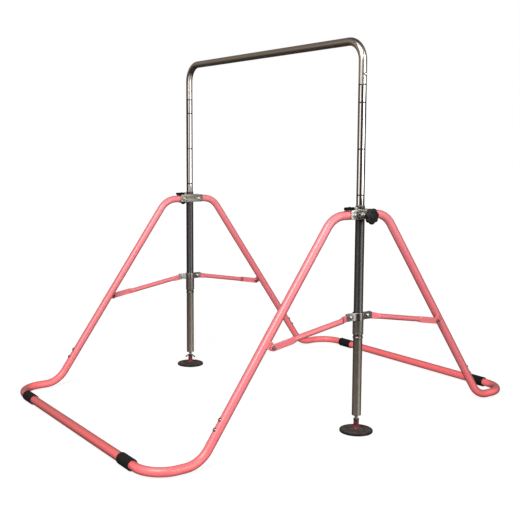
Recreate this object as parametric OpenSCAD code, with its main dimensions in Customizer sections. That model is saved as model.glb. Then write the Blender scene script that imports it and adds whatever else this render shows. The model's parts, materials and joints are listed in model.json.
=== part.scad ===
// Folding gymnastics kip bar: a U-shaped rail on two telescopic uprights, carried by
// four splayed legs that fold in about the head brackets like an umbrella.
// +X runs along the bar, +Z is up, the origin is on the floor midway between the uprights.

/* [Overall] */
// Distance between the axes of the two uprights
span = 1100; // [1000:10:1200]
// Height of the bar's axis above the floor
bar_height = 1337; // [1300:1:1360]
// Distance from the uprights' plane to the axis of each floor tube
floor_reach = 816; // [800:1:840]

/* [Rail and poles] */
// Outside diameter of the rail and of the poles below it
rail_d = 28; // [28:1:28]
// Wall of every steel tube except the posts
tube_wall = 1.5; // [1.2:0.1:1.8]
// Centre-line radius of the rail's two bends
rail_bend = 70; // [60:1:90]
// Height at which the rail's ends meet the poles
seam_z = 1190; // [1180:1:1200]
// Height of the snap buttons above that seam
button_rise = 34; // [28:1:40]
// Height of the poles' lower ends
pole_low = 620; // [600:1:640]
// Height of the top position ring on each pole
ring_top = 1128; // [1100:1:1150]
// Spacing of the position rings
ring_step = 154; // [140:1:156]

/* [Posts] */
// Outside diameter of the posts
post_d = 32; // [32:1:32]
// Wall of the posts
post_wall = 1.2; // [1.2:0.1:1.2]
// Height of the posts' top ends
post_top = 786; // [784:1:790]
// Height of the posts' bottom ends
post_low = 59; // [58:1:62]
// Height of the swaged bead that stops each sliding bracket
bead_z = 334; // [328:1:338]

/* [Head brackets] */
// Height of the bolts that the legs turn on
pivot_z = 756; // [752:1:758]
// Distance of those bolts from the post's axis
pivot_y = 36; // [36:0.5:38]
// Length of the bracket's cheek plates
head_len = 112; // [110:1:120]
// Lower edge of the cheek plates
head_low = 742; // [740:1:742]
// Upper edge of the cheek plates
head_high = 775; // [775:1:776]
// Diameter of the star knobs over their lobes
knob_d = 56; // [50:1:58]

/* [Legs] */
// Outside diameter of the legs and of the bent corner tubes
leg_d = 30; // [30:1:30]
// Lean of the legs from the vertical, which is also the angle that they fold through
leg_angle = 35.4; // [34.5:0.1:36]
// Distance from the post's axis to where the stub and the leg would meet
knee_y = 118.8; // [116:0.1:122]
// Centre-line radius of the bend at the top of each leg
knee_bend = 90; // [80:1:95]
// Centre-line radius of the bend at the bottom of each leg
foot_bend = 100; // [90:1:105]
// Height at which the leg meets the corner tube
joint_z = 88; // [84:1:92]

/* [Floor frame] */
// Outside diameter of the straight floor tubes
floor_d = 32; // [32:1:32]
// Outside diameter of the rubber sleeves, which rest on the floor
sleeve_d = 39; // [38:0.5:41]
// Length of the rubber sleeves
sleeve_len = 74; // [60:1:90]
// Distance from the middle to the centre of each sleeve
sleeve_x = 402; // [398:1:406]
// Centre-line radius of the floor corners
corner_bend = 95; // [90:1:98]

/* [Sliding brackets and braces] */
// Height of the sliding bracket's bolts
slide_z = 408; // [404:1:412]
// Distance of those bolts from the post's axis
slide_y = 39; // [39:0.5:41]
// Height of the sliding bracket's ears
ear_h = 26; // [24:1:28]
// Height of the braces' outer pivots
lug_z = 351; // [348:1:354]
// Distance of the lug's hole from the leg's axis
lug_offset = 24; // [24:0.5:25]
// Outside diameter of the braces
brace_d = 19; // [19:1:19]

/* [Feet] */
// Diameter of the foot pads
pad_d = 116; // [100:1:120]
// Radius of the levelling stems
stem_r = 6; // [6:1:6]

/* [Hidden] */
$fn = 64;

// Radial gap of a shaft that turns or slides in a hole
run = 0.05;
// Small overlap that makes cuts clean
eps = 1;
// Gap at the end of each tube that butts against the next one
seam_gap = 0.2;
// Length that a straight tube laps into a bend, and how much the bend's wall stands round it
lap = 1;
swell = 0.02;

rail_r = rail_d / 2;
post_r = post_d / 2;
post_bore = post_r - post_wall;
leg_r = leg_d / 2;
floor_r = floor_d / 2;
floor_z = sleeve_d / 2;
brace_r = brace_d / 2;
button_z = seam_z + button_rise;
button_r = 4;
tail_r = 1.5;
neck_gap = 0.1;
neck_r = rail_r - tube_wall - neck_gap;
neck_len = 60;
bolt_r = 4;

// Cheek plates of the head bracket: their inner faces and thickness
cheek_in = 16.4;
cheek_t = 3;
cheek_out = cheek_in + cheek_t;
stud_z = pivot_z - 1;
stud_r = 5;
boss_out = 30;
knob_in = 38;
knob_back = 50;
knob_t = 14;
latch_y = 32;
latch_z = head_high + 4;
latch_r = 2.5;

// Leg centre line: stub, knee bend, slanted run, foot bend
leg_turn = 90 - leg_angle;
stub_start = pivot_y - 7;
knee_tan = knee_bend * tan(leg_turn / 2);
foot_tan = foot_bend * tan(leg_turn / 2);
leg_slant = (pivot_z - floor_z) / cos(leg_angle);
joint_run = (pivot_z - joint_z) / cos(leg_angle);
foot_y = knee_y + (pivot_z - floor_z) * tan(leg_angle);
spigot_len = 62;

// Brace: its inner pivot is on the sliding bracket, its outer pivot on the leg's lug
lug_run = (pivot_z - lug_z - lug_offset * sin(leg_angle)) / cos(leg_angle);
lug_y = knee_y + lug_run * sin(leg_angle) - lug_offset * cos(leg_angle);
brace_len = norm([lug_y - slide_y, slide_z - lug_z]);
brace_drop = atan2(slide_z - lug_z, lug_y - slide_y);
brace_x = 10;
tongue_t = 4;
tongue_h = 23;
inner_flat = 28;
inner_taper = 22;
outer_flat = 72;
outer_taper = 28;
brace_in_x = brace_x - brace_r + tongue_t / 2;
brace_out_x = brace_x + brace_r - tongue_t / 2;
tongue_face = brace_out_x - tongue_t / 2;
lug_in_x = 10.8;
lug_t = 4;
ear_gap = 0.3;
ear_t = 2.5;
collar_r = 19.7;
collar_bore = 17.2;
sleeve_r = 18.7;
collar_low = 345;

pad_r = pad_d / 2;
hub_top = 40;

// ---- Placing and tube helpers ----

// Moves to an upright: sx is -1 for left and 1 for right, and local +X points outward.
// sy is -1 for the front half and 1 for the back half, and local +Y points outward.
module at_post(sx, sy = 1) {
    translate([sx * span / 2, 0, 0])
        mirror([sx < 0 ? 1 : 0, 0, 0])
            mirror([0, sy < 0 ? 1 : 0, 0])
                children();
}

// Straight tube along +Z; lap_in and lap_out carry it into the bends at its ends
module tube(r, wall, len, lap_in = 0, lap_out = 0) {
    full = len + lap_in + lap_out;
    translate([0, 0, -lap_in])
        difference() {
            cylinder(r = r, h = full);
            translate([0, 0, -eps])
                cylinder(r = r - wall, h = full + 2 * eps);
        }
}

// Bend that starts along +Z and curves toward +X turned by roll.
// Its wall is thicker than the straight tube's by swell on each face.
module bend(r, wall, radius, angle, roll) {
    rotate([0, 0, roll])
        translate([radius, 0, 0])
            rotate([90, 0, 180])
                rotate_extrude(angle = angle)
                    translate([radius, 0])
                        difference() {
                            circle(r = r + swell);
                            circle(r = r - wall - swell);
                        }
}

// Moves the children to the end of such a bend
module after_bend(radius, angle, roll) {
    rotate([0, 0, roll])
        translate([radius * (1 - cos(angle)), 0, radius * sin(angle)])
            rotate([0, angle, 0])
                rotate([0, 0, -roll])
                    children();
}

module after(len) {
    translate([0, 0, len])
        children();
}

// Turns the children so that their +Z points along +X
module along_x() {
    rotate([0, 90, 0])
        children();
}

// Frame of a leg: local +Z runs down the leg from the knee, local +Y points inward
module at_leg(sx, sy) {
    at_post(sx, sy)
        translate([0, knee_y, pivot_z])
            rotate([180 + leg_angle, 0, 0])
                children();
}

// Frame of a brace: local +Y runs from its inner pivot to its outer pivot
module at_brace(sx, sy) {
    at_post(sx, sy)
        translate([0, slide_y, slide_z])
            rotate([-brace_drop, 0, 0])
                children();
}

// Bolt head with a rounded edge, from the face at the origin toward +Z
module bolt_head(r, h) {
    rotate_extrude()
        polygon([[0, 0], [r, 0], [r, h * 0.45], [r * 0.86, h * 0.8], [r * 0.6, h], [0, h]]);
}

// Hex nut on a washer, from the face at the origin toward +Z
module hex_nut(across, h, bore) {
    difference() {
        union() {
            cylinder(r = across * 0.62, h = 1.2);
            cylinder(r = across / sqrt(3), h = h, $fn = 6);
        }
        translate([0, 0, -eps])
            cylinder(r = bore, h = h + 2 * eps);
    }
}

// Plate in the Y-Z plane from x to x + t, with one round end
module round_plate(x, t, y0, y1, h) {
    translate([x, y0, -h / 2])
        cube([t, y1 - y0, h]);
    translate([x, y1, 0])
        along_x()
            cylinder(r = h / 2, h = t);
}

// ---- Rail and poles ----

module kip_rail() {
    rise = bar_height - rail_bend - seam_z;
    color("silver")
        difference() {
            translate([-span / 2, 0, seam_z]) {
                tube(rail_r, tube_wall, rise, 0, lap);
                after(rise) {
                    bend(rail_r, tube_wall, rail_bend, 90, 0);
                    after_bend(rail_bend, 90, 0) {
                        tube(rail_r, tube_wall, span - 2 * rail_bend, lap, lap);
                        after(span - 2 * rail_bend) {
                            bend(rail_r, tube_wall, rail_bend, 90, 0);
                            after_bend(rail_bend, 90, 0)
                                tube(rail_r, tube_wall, rise, lap);
                        }
                    }
                }
            }
            for (sx = [-1, 1])
                at_post(sx)
                    translate([rail_r - 4, 0, button_z])
                        along_x()
                            cylinder(r = button_r + run, h = 8);
        }
}

// Shallow groove that marks a setting
module position_ring(z) {
    translate([0, 0, z - 1.5])
        difference() {
            cylinder(r = rail_r + eps, h = 3);
            translate([0, 0, -eps])
                cylinder(r = rail_r - 0.5, h = 3 + 2 * eps);
        }
}

module pole(sx) {
    shoulder = 3;
    color("gainsboro")
        at_post(sx)
            difference() {
                union() {
                    translate([0, 0, pole_low])
                        tube(rail_r, tube_wall, seam_z - pole_low);
                    translate([0, 0, seam_z - shoulder]) {
                        tube(rail_r, 2 * tube_wall, shoulder);
                        tube(neck_r, tube_wall, neck_len + shoulder);
                    }
                }
                for (i = [0:2])
                    position_ring(ring_top - i * ring_step);
                translate([rail_r - 4.5, 0, button_z])
                    along_x()
                        cylinder(r = button_r + run, h = 8);
            }
}

// U-shaped flat spring inside the pole's neck; the button's tail runs through its outer arm
module spring_clip(sx) {
    arm = 28;
    bow_out = 7.2;
    bow_in = 6.4;
    low = 22;
    color("dimgray")
        at_post(sx)
            translate([-2.8, 0, button_z - low])
                difference() {
                    translate([0, 4, 0])
                        rotate([90, 0, 0])
                            linear_extrude(8)
                                difference() {
                                    union() {
                                        circle(r = bow_out);
                                        translate([-bow_out, 0])
                                            square([2 * bow_out, arm]);
                                    }
                                    circle(r = bow_in);
                                    translate([-bow_in, 0])
                                        square([2 * bow_in, arm + eps]);
                                }
                    translate([0, 0, low])
                        along_x()
                            cylinder(r = tail_r + run, h = bow_out + eps);
                }
}

module snap_button(sx) {
    proud = 3.5;
    head = 8;
    tail = 10;
    color("silver")
        at_post(sx)
            translate([rail_r + proud - head, 0, button_z])
                along_x()
                    rotate_extrude()
                        polygon([
                            [0, -tail], [tail_r, -tail], [tail_r, 0], [button_r, 0],
                            [button_r, head - 1.6], [2.8, head], [0, head]
                        ]);
}

// ---- Posts ----

module post(sx) {
    bead_out = 2;
    bead_round = 4.5;
    color("dimgray")
        at_post(sx)
            difference() {
                union() {
                    translate([0, 0, post_low])
                        cylinder(r = post_r, h = post_top - post_low);
                    translate([0, 0, bead_z])
                        rotate_extrude()
                            translate([post_r + bead_out - bead_round, 0])
                                circle(r = bead_round);
                }
                translate([0, 0, post_low - eps])
                    cylinder(r = post_bore, h = post_top - post_low + 2 * eps);
                translate([post_r - 4, 0, stud_z])
                    along_x()
                        cylinder(r = stud_r + run, h = 8);
            }
}

module post_bushes() {
    bush_low = 700;
    flange_h = 3;
    flange_r = 16.2;
    color("black")
        for (sx = [-1, 1])
            at_post(sx)
                difference() {
                    union() {
                        translate([0, 0, bush_low])
                            cylinder(r = post_bore, h = post_top - bush_low);
                        translate([0, 0, post_top])
                            cylinder(r = flange_r, h = flange_h);
                    }
                    translate([0, 0, bush_low - eps])
                        cylinder(r = rail_r + run, h = post_top + flange_h - bush_low + 2 * eps);
                    translate([rail_r - 3, 0, stud_z])
                        along_x()
                            cylinder(r = stud_r + run, h = 8);
                }
}

module post_plugs() {
    plug_h = 25;
    color("dimgray")
        for (sx = [-1, 1])
            at_post(sx)
                translate([0, 0, post_low])
                    tube(post_bore, post_bore - stem_r - run, plug_h);
}

// ---- Head brackets ----

// Outline of a cheek plate in the Y-Z plane, with an ear at the front for the latch
module cheek_outline() {
    corner = 5;
    half = head_len / 2;
    translate([-half + corner, head_low])
        square([head_len - 2 * corner, head_high - head_low]);
    translate([-half, head_low + corner])
        square([head_len, head_high - head_low - 2 * corner]);
    for (y = [-half + corner, half - corner], z = [head_low + corner, head_high - corner])
        translate([y, z])
            circle(r = corner);
    translate([-latch_y, latch_z])
        circle(r = 6);
    translate([-latch_y - 6, head_high - 3])
        square([12, latch_z - head_high + 3]);
}

module head_bracket(sx) {
    web_y = 22;
    web_t = 4;
    color("silver")
        at_post(sx)
            difference() {
                union() {
                    for (x = [-cheek_out, cheek_in])
                        translate([x, 0, 0])
                            rotate([90, 0, 90])
                                linear_extrude(cheek_t)
                                    cheek_outline();
                    translate([-cheek_in - 1, -web_y, head_high - web_t])
                        cube([2 * cheek_in + 2, 2 * web_y, web_t]);
                    translate([cheek_in + 1, 0, stud_z])
                        along_x()
                            cylinder(r = 9, h = boss_out - cheek_in - 1);
                }
                translate([0, 0, head_low - eps])
                    cylinder(r = post_r, h = head_high - head_low + 2 * eps);
                for (y = [-pivot_y, pivot_y])
                    translate([-cheek_out - eps, y, pivot_z])
                        along_x()
                            cylinder(r = bolt_r + run, h = 2 * cheek_out + 2 * eps);
                translate([-cheek_out - eps, -latch_y, latch_z])
                    along_x()
                        cylinder(r = latch_r + run, h = 2 * cheek_out + 2 * eps);
                translate([post_r, 0, stud_z])
                    along_x()
                        cylinder(r = stud_r + run, h = boss_out - post_r + eps);
            }
}

module head_pivot_bolts() {
    nut_side = 26.5;
    color("gainsboro")
        for (sx = [-1, 1], sy = [-1, 1])
            at_post(sx, sy) {
                translate([-nut_side, pivot_y, pivot_z])
                    along_x()
                        cylinder(r = bolt_r, h = nut_side + cheek_out);
                translate([cheek_out, pivot_y, pivot_z])
                    along_x()
                        bolt_head(7.5, 4.5);
            }
}

module head_pivot_nuts() {
    color("gainsboro")
        for (sx = [-1, 1], sy = [-1, 1])
            at_post(sx, sy)
                translate([-cheek_out, pivot_y, pivot_z])
                    rotate([0, -90, 0])
                        hex_nut(13, 6, bolt_r + run);
}

// Star knob with seven lobes and a short neck
module clamp_knob(sx) {
    lobes = 7;
    lobe_r = 6.2;
    lobe_at = knob_d / 2 - lobe_r;
    color("black")
        at_post(sx)
            translate([0, 0, stud_z])
                along_x()
                    difference() {
                        union() {
                            translate([0, 0, knob_in])
                                cylinder(r1 = 8.5, r2 = 12, h = knob_back - knob_in);
                            translate([0, 0, knob_back])
                                linear_extrude(knob_t) {
                                    circle(r = lobe_at + 0.8);
                                    for (i = [0:lobes - 1])
                                        rotate(i * 360 / lobes)
                                            translate([lobe_at, 0])
                                                circle(r = lobe_r);
                                }
                            translate([0, 0, knob_back + knob_t])
                                cylinder(r1 = 15, r2 = 13, h = 2);
                        }
                        translate([0, 0, knob_in - eps])
                            cylinder(r = stud_r, h = 18 + eps);
                    }
}

module knob_stud(sx) {
    tip = rail_r + 0.1;
    color("silver")
        at_post(sx)
            translate([tip, 0, stud_z])
                along_x()
                    cylinder(r = stud_r, h = knob_in + 18 - tip);
}

// Flat lever over the front leg's stub, hinged on its pin
module latch_lever(sx) {
    half_w = 7;
    t = 9;
    inner = 4.5;
    tip = 69 - latch_y;
    color("black")
        at_post(sx)
            translate([0, -latch_y, latch_z])
                difference() {
                    union() {
                        translate([-half_w, -tip + 4, -t / 2])
                            cube([2 * half_w, tip + inner - 4, t]);
                        translate([-half_w + 4, -tip, -t / 2])
                            cube([2 * half_w - 8, 8, t]);
                        for (x = [-half_w + 4, half_w - 4])
                            translate([x, -tip + 4, -t / 2])
                                cylinder(r = 4, h = t);
                    }
                    translate([-half_w - eps, 0, 0])
                        along_x()
                            cylinder(r = latch_r + run, h = 2 * half_w + 2 * eps);
                }
}

module latch_pins() {
    color("silver")
        for (sx = [-1, 1])
            at_post(sx)
                translate([-cheek_out - 1.5, -latch_y, latch_z])
                    along_x()
                        cylinder(r = latch_r, h = 2 * cheek_out + 3);
}

// ---- Legs and floor frame ----

module leg(sx, sy) {
    stub_len = knee_y - knee_tan - stub_start;
    color("salmon")
        difference() {
            union() {
                at_post(sx, sy)
                    translate([0, stub_start, pivot_z])
                        rotate([-90, 0, 0]) {
                            tube(leg_r, tube_wall, stub_len, 0, lap);
                            after(stub_len)
                                bend(leg_r, tube_wall, knee_bend, leg_turn, 90);
                        }
                at_leg(sx, sy)
                    after(knee_tan)
                        tube(leg_r, tube_wall, joint_run - seam_gap - knee_tan, lap);
            }
            at_post(sx, sy)
                translate([-leg_r - eps, pivot_y, pivot_z])
                    along_x()
                        cylinder(r = bolt_r + run, h = leg_d + 2 * eps);
            screw_holes(sx, sy);
        }
}

// Places of the two screws that hold the leg to the corner tube
function screw_run(i) = joint_run - 28 - 34 * i;

module screw_holes(sx, sy) {
    at_leg(sx, sy)
        for (i = [0, 1])
            after(screw_run(i))
                rotate([90, 0, 0])
                    cylinder(r = 3 + run, h = leg_r + eps);
}

module joint_screws(sy) {
    color("gainsboro")
        for (sx = [-1, 1], i = [0, 1])
            at_leg(sx, sy)
                after(screw_run(i))
                    rotate([90, 0, 0]) {
                        translate([0, 0, 10])
                            cylinder(r = 3, h = leg_r - 10);
                        translate([0, 0, leg_r])
                            bolt_head(6.5, 4);
                    }
}

// Bent tube from the leg's foot to the floor tube, necked at both ends
module corner(sx, sy) {
    shoulder = 3;
    low_run = leg_slant - foot_tan - joint_run;
    floor_run = floor_reach - corner_bend - foot_y - foot_tan;
    end_run = span / 2 - corner_bend - sleeve_x - seam_gap;
    leg_neck = leg_r - tube_wall - neck_gap;
    floor_neck = floor_r - tube_wall - neck_gap;
    color("salmon")
        difference() {
            at_leg(sx, sy)
                after(joint_run) {
                    after(-spigot_len)
                        tube(leg_neck, tube_wall, spigot_len + shoulder);
                    tube(leg_r, 2 * tube_wall, shoulder);
                    tube(leg_r, tube_wall, low_run, 0, lap);
                    after(low_run) {
                        bend(leg_r, tube_wall, foot_bend, leg_turn, -90);
                        after_bend(foot_bend, leg_turn, -90) {
                            tube(leg_r, tube_wall, floor_run, lap, lap);
                            after(floor_run) {
                                bend(leg_r, tube_wall, corner_bend, 90, 180);
                                after_bend(corner_bend, 90, 180) {
                                    tube(leg_r, tube_wall, end_run, lap);
                                    after(end_run - shoulder)
                                        tube(floor_neck, tube_wall, spigot_len + shoulder);
                                }
                            }
                        }
                    }
                }
            screw_holes(sx, sy);
        }
}

module cross_tube(sy) {
    color("salmon")
        translate([-sleeve_x, sy * floor_reach, floor_z])
            along_x()
                tube(floor_r, tube_wall, 2 * sleeve_x);
}

module sleeves(sy) {
    color("black")
        for (sx = [-1, 1])
            at_post(sx, sy)
                translate([sleeve_x - span / 2, floor_reach, floor_z])
                    along_x()
                        difference() {
                            translate([0, 0, -sleeve_len / 2])
                                cylinder(r = sleeve_d / 2, h = sleeve_len);
                            translate([0, 0, -sleeve_len / 2 - eps])
                                cylinder(r = floor_r, h = sleeve_len / 2 + eps);
                            translate([0, 0, -eps])
                                cylinder(r = leg_r + run, h = sleeve_len / 2 + 2 * eps);
                        }
}

// Flat lug welded to the inner side of each leg
module brace_lugs(sy) {
    lug_h = 24;
    color("salmon")
        for (sx = [-1, 1])
            at_leg(sx, sy)
                difference() {
                    after(lug_run)
                        round_plate(lug_in_x, lug_t, 0, lug_offset, lug_h);
                    after(lug_run - lug_h)
                        cylinder(r = leg_r, h = 2 * lug_h);
                    translate([lug_in_x - eps, lug_offset, lug_run])
                        along_x()
                            cylinder(r = bolt_r + run, h = lug_t + 2 * eps);
                }
}

module lug_nuts(sy) {
    color("gainsboro")
        for (sx = [-1, 1])
            at_leg(sx, sy)
                translate([lug_in_x, lug_offset, lug_run])
                    rotate([0, -90, 0])
                        hex_nut(13, 6, bolt_r + run);
}

// ---- Sliding brackets ----

// Flat ear from y0 to y1, with its two outer corners rounded
module ear_plate(x, t, y0, y1, h) {
    corner = 4;
    translate([x, y0, -h / 2])
        cube([t, y1 - y0 - corner, h]);
    translate([x, y0, corner - h / 2])
        cube([t, y1 - y0, h - 2 * corner]);
    for (z = [corner - h / 2, h / 2 - corner])
        translate([x, y1 - corner, z])
            along_x()
                cylinder(r = corner, h = t);
}

module slide_bracket(sx) {
    ear_tip = slide_y + 18;
    color("slategray")
        at_post(sx)
            difference() {
                union() {
                    translate([0, 0, collar_low])
                        cylinder(r = sleeve_r, h = slide_z - collar_low);
                    translate([0, 0, slide_z - ear_h / 2])
                        cylinder(r = collar_r, h = ear_h);
                    for (sy = [-1, 1], x = ear_faces())
                        mirror([0, sy < 0 ? 1 : 0, 0])
                            translate([0, 0, slide_z])
                                ear_plate(x, ear_t, 14, ear_tip, ear_h);
                }
                translate([0, 0, collar_low - eps])
                    cylinder(r = collar_bore, h = slide_z + ear_h - collar_low);
                for (y = [-slide_y, slide_y])
                    translate([-eps - ear_t - ear_gap, y, slide_z])
                        along_x()
                            cylinder(r = bolt_r + run, h = 3 * ear_t + tongue_t);
            }
}

// Inner faces of the two ears that hold a brace's tongue between them
function ear_faces() = [
    brace_in_x - tongue_t / 2 - ear_gap - ear_t,
    brace_in_x + tongue_t / 2 + ear_gap
];

module slide_bush(sx) {
    slide_run = 0.06;
    color("black")
        at_post(sx)
            translate([0, 0, collar_low])
                tube(collar_bore, collar_bore - post_r - slide_run, slide_z + ear_h / 2 - collar_low);
}

module slide_bolts(sx) {
    inner_face = ear_faces()[0];
    outer_face = ear_faces()[1] + ear_t;
    color("gainsboro")
        for (sy = [-1, 1])
            at_post(sx, sy)
                translate([0, slide_y, slide_z]) {
                    translate([inner_face, 0, 0])
                        along_x()
                            cylinder(r = bolt_r, h = outer_face - inner_face);
                    translate([outer_face, 0, 0])
                        along_x()
                            bolt_head(7, 4);
                    translate([inner_face, 0, 0])
                        rotate([0, -90, 0])
                            bolt_head(7, 4);
                }
}

// ---- Braces ----

// Section of the brace across its length: the round tube, or a flattened end centred on x
module round_section(y) {
    translate([brace_x, y, 0])
        rotate([90, 0, 0])
            cylinder(r = brace_r, h = 0.1, center = true, $fn = 32);
}

module flat_section(y, x) {
    translate([x - tongue_t / 2, y - 0.05, -tongue_h / 2])
        cube([tongue_t, 0.1, tongue_h]);
}

// Tongue pressed flat from the tube, with a round end at the pivot and a square end at y
module tongue(x, pivot_y_at, y) {
    translate([x - tongue_t / 2, min(pivot_y_at, y), -tongue_h / 2])
        cube([tongue_t, abs(y - pivot_y_at), tongue_h]);
    translate([x - tongue_t / 2, pivot_y_at, 0])
        along_x()
            cylinder(r = tongue_h / 2, h = tongue_t);
}

module brace(sx, sy) {
    tube_start = inner_flat + inner_taper;
    tube_end = brace_len - outer_flat - outer_taper;
    color("salmon")
        at_brace(sx, sy)
            difference() {
                union() {
                    tongue(brace_in_x, 0, inner_flat);
                    hull() {
                        flat_section(inner_flat, brace_in_x);
                        round_section(tube_start);
                    }
                    translate([brace_x, tube_start, 0])
                        rotate([-90, 0, 0])
                            cylinder(r = brace_r, h = tube_end - tube_start);
                    hull() {
                        round_section(tube_end);
                        flat_section(brace_len - outer_flat, brace_out_x);
                    }
                    tongue(brace_out_x, brace_len, brace_len - outer_flat);
                }
                translate([brace_x, tube_start + 2, 0])
                    rotate([-90, 0, 0])
                        cylinder(r = brace_r - tube_wall, h = tube_end - tube_start - 4);
                translate([brace_in_x - tongue_t, 0, 0])
                    along_x()
                        cylinder(r = bolt_r + run, h = 2 * tongue_t);
                translate([brace_out_x - tongue_t, brace_len, 0])
                    along_x()
                        cylinder(r = bolt_r + run, h = 2 * tongue_t);
            }
}

// The outer bolt ends flush with the tongue, so that the lug stays clear as the frame folds
module brace_bolt(sx, sy) {
    color("gainsboro")
        at_brace(sx, sy)
            translate([tongue_face, brace_len, 0])
                along_x() {
                    cylinder(r = bolt_r, h = tongue_t);
                    translate([0, 0, tongue_t])
                        bolt_head(7.5, 4.5);
                }
}

// ---- Levelling feet ----

module foot_pad(sx) {
    hub_r = 9.5;
    seat = 12;
    color("dimgray")
        at_post(sx)
            rotate_extrude($fn = 96)
                polygon([
                    [0, 0], [pad_r - 3, 0], [pad_r, 2], [pad_r, 6], [pad_r - 3, 8], [pad_r - 7, 8],
                    [pad_r - 11, 6], [22, 9], [14, 13], [hub_r, 20], [hub_r, hub_top],
                    [stem_r, hub_top], [stem_r, seat], [0, seat]
                ]);
}

module foot_stem(sx) {
    seat = 12;
    stem_top = 100;
    color("silver")
        at_post(sx)
            translate([0, 0, seat])
                cylinder(r = stem_r, h = stem_top - seat);
}

module wing_nut(sx) {
    ring_low = hub_top + 1;
    ring_h = 6.5;
    color("dimgray")
        at_post(sx)
            translate([0, 0, ring_low])
                difference() {
                    union() {
                        cylinder(r = 10, h = ring_h);
                        for (turn = [130, 310])
                            rotate([0, 0, turn])
                                hull() {
                                    translate([9, -1.5, 0.5])
                                        cube([0.8, 3, ring_h - 1]);
                                    translate([18.5, 1.5, -5])
                                        rotate([90, 0, 0])
                                            cylinder(r = 4, h = 3, $fn = 24);
                                }
                    }
                    translate([0, 0, -eps - 4])
                        cylinder(r = stem_r + run, h = ring_h + 8);
                }
}

kip_rail();
pole(-1);  // left_pole
pole(1);  // right_pole
spring_clip(-1);  // left_spring_clip
spring_clip(1);  // right_spring_clip
snap_button(-1);  // left_snap_button
snap_button(1);  // right_snap_button
post(-1);  // left_post
post(1);  // right_post
post_bushes();
post_plugs();
head_bracket(-1);  // left_head_bracket
head_bracket(1);  // right_head_bracket
head_pivot_bolts();
head_pivot_nuts();
clamp_knob(-1);  // left_clamp_knob
clamp_knob(1);  // right_clamp_knob
knob_stud(-1);  // left_knob_stud
knob_stud(1);  // right_knob_stud
latch_lever(-1);  // left_latch_lever
latch_lever(1);  // right_latch_lever
latch_pins();
leg(-1, -1);  // front_left_leg
leg(1, -1);  // front_right_leg
leg(-1, 1);  // back_left_leg
leg(1, 1);  // back_right_leg
corner(-1, -1);  // front_left_corner
corner(1, -1);  // front_right_corner
corner(-1, 1);  // back_left_corner
corner(1, 1);  // back_right_corner
cross_tube(-1);  // front_cross_tube
cross_tube(1);  // back_cross_tube
sleeves(-1);  // front_sleeves
sleeves(1);  // back_sleeves
joint_screws(-1);  // front_joint_screws
joint_screws(1);  // back_joint_screws
brace_lugs(-1);  // front_brace_lugs
brace_lugs(1);  // back_brace_lugs
lug_nuts(-1);  // front_lug_nuts
lug_nuts(1);  // back_lug_nuts
slide_bracket(-1);  // left_slide_bracket
slide_bracket(1);  // right_slide_bracket
slide_bush(-1);  // left_slide_bush
slide_bush(1);  // right_slide_bush
slide_bolts(-1);  // left_slide_bolts
slide_bolts(1);  // right_slide_bolts
brace(-1, -1);  // front_left_brace
brace(1, -1);  // front_right_brace
brace(-1, 1);  // back_left_brace
brace(1, 1);  // back_right_brace
brace_bolt(-1, -1);  // front_left_brace_bolt
brace_bolt(1, -1);  // front_right_brace_bolt
brace_bolt(-1, 1);  // back_left_brace_bolt
brace_bolt(1, 1);  // back_right_brace_bolt
foot_pad(-1);  // left_foot_pad
foot_pad(1);  // right_foot_pad
foot_stem(-1);  // left_foot_stem
foot_stem(1);  // right_foot_stem
wing_nut(-1);  // left_wing_nut
wing_nut(1);  // right_wing_nut
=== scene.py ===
"""Looks of a folding gymnastics kip bar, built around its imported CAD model."""

import json
import math

import bmesh
import bpy
from mathutils import Matrix, Vector


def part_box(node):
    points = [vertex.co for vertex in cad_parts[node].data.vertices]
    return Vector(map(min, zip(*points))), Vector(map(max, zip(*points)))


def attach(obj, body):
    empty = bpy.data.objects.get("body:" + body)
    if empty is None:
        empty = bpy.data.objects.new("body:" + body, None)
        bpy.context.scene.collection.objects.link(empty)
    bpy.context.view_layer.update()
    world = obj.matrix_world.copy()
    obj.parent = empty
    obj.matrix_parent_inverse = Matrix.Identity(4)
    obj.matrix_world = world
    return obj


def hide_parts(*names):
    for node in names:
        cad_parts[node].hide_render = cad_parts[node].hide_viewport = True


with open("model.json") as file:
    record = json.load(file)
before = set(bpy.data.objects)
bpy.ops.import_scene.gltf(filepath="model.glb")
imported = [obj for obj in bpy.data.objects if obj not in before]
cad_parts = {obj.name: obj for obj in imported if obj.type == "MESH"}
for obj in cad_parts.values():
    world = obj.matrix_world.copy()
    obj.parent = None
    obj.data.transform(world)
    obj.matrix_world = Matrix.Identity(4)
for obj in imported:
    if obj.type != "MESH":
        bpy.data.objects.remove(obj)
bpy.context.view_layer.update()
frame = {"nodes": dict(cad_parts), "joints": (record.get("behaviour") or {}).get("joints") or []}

TAU = 2 * math.pi
MM = 0.001
SIDES = (("left", -1), ("right", 1))
HALVES = (("front", -1), ("back", 1))
LEGS = [(half, sy, side, sx) for half, sy in HALVES for side, sx in SIDES]
STILL = Matrix.Identity(4)

# ---------------------------------------------------------------- sizes read from the CAD frame


def low(node, axis):
    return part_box(node)[0][axis]


def high(node, axis):
    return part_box(node)[1][axis]


def middle(node, axis):
    return (low(node, axis) + high(node, axis)) / 2


def joint(name):
    return next(j for j in frame["joints"] if j["name"] == name)


def points(node):
    """Height and radius about the right upright's axis of each of a CAD node's points."""
    verts = frame["nodes"][node].data.vertices
    return [(v.co.z, math.hypot(v.co.x - POST_X, v.co.y)) for v in verts]


fold = joint("front_frame_fold")
PIVOT_Y = abs(fold["pos_m"][1])
PIVOT_Z = fold["pos_m"][2]
LEAN = math.radians(fold["range_deg"][1])
POST_X = middle("right_foot_stem", 0)
HOLE_R = 4.05 * MM

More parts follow.
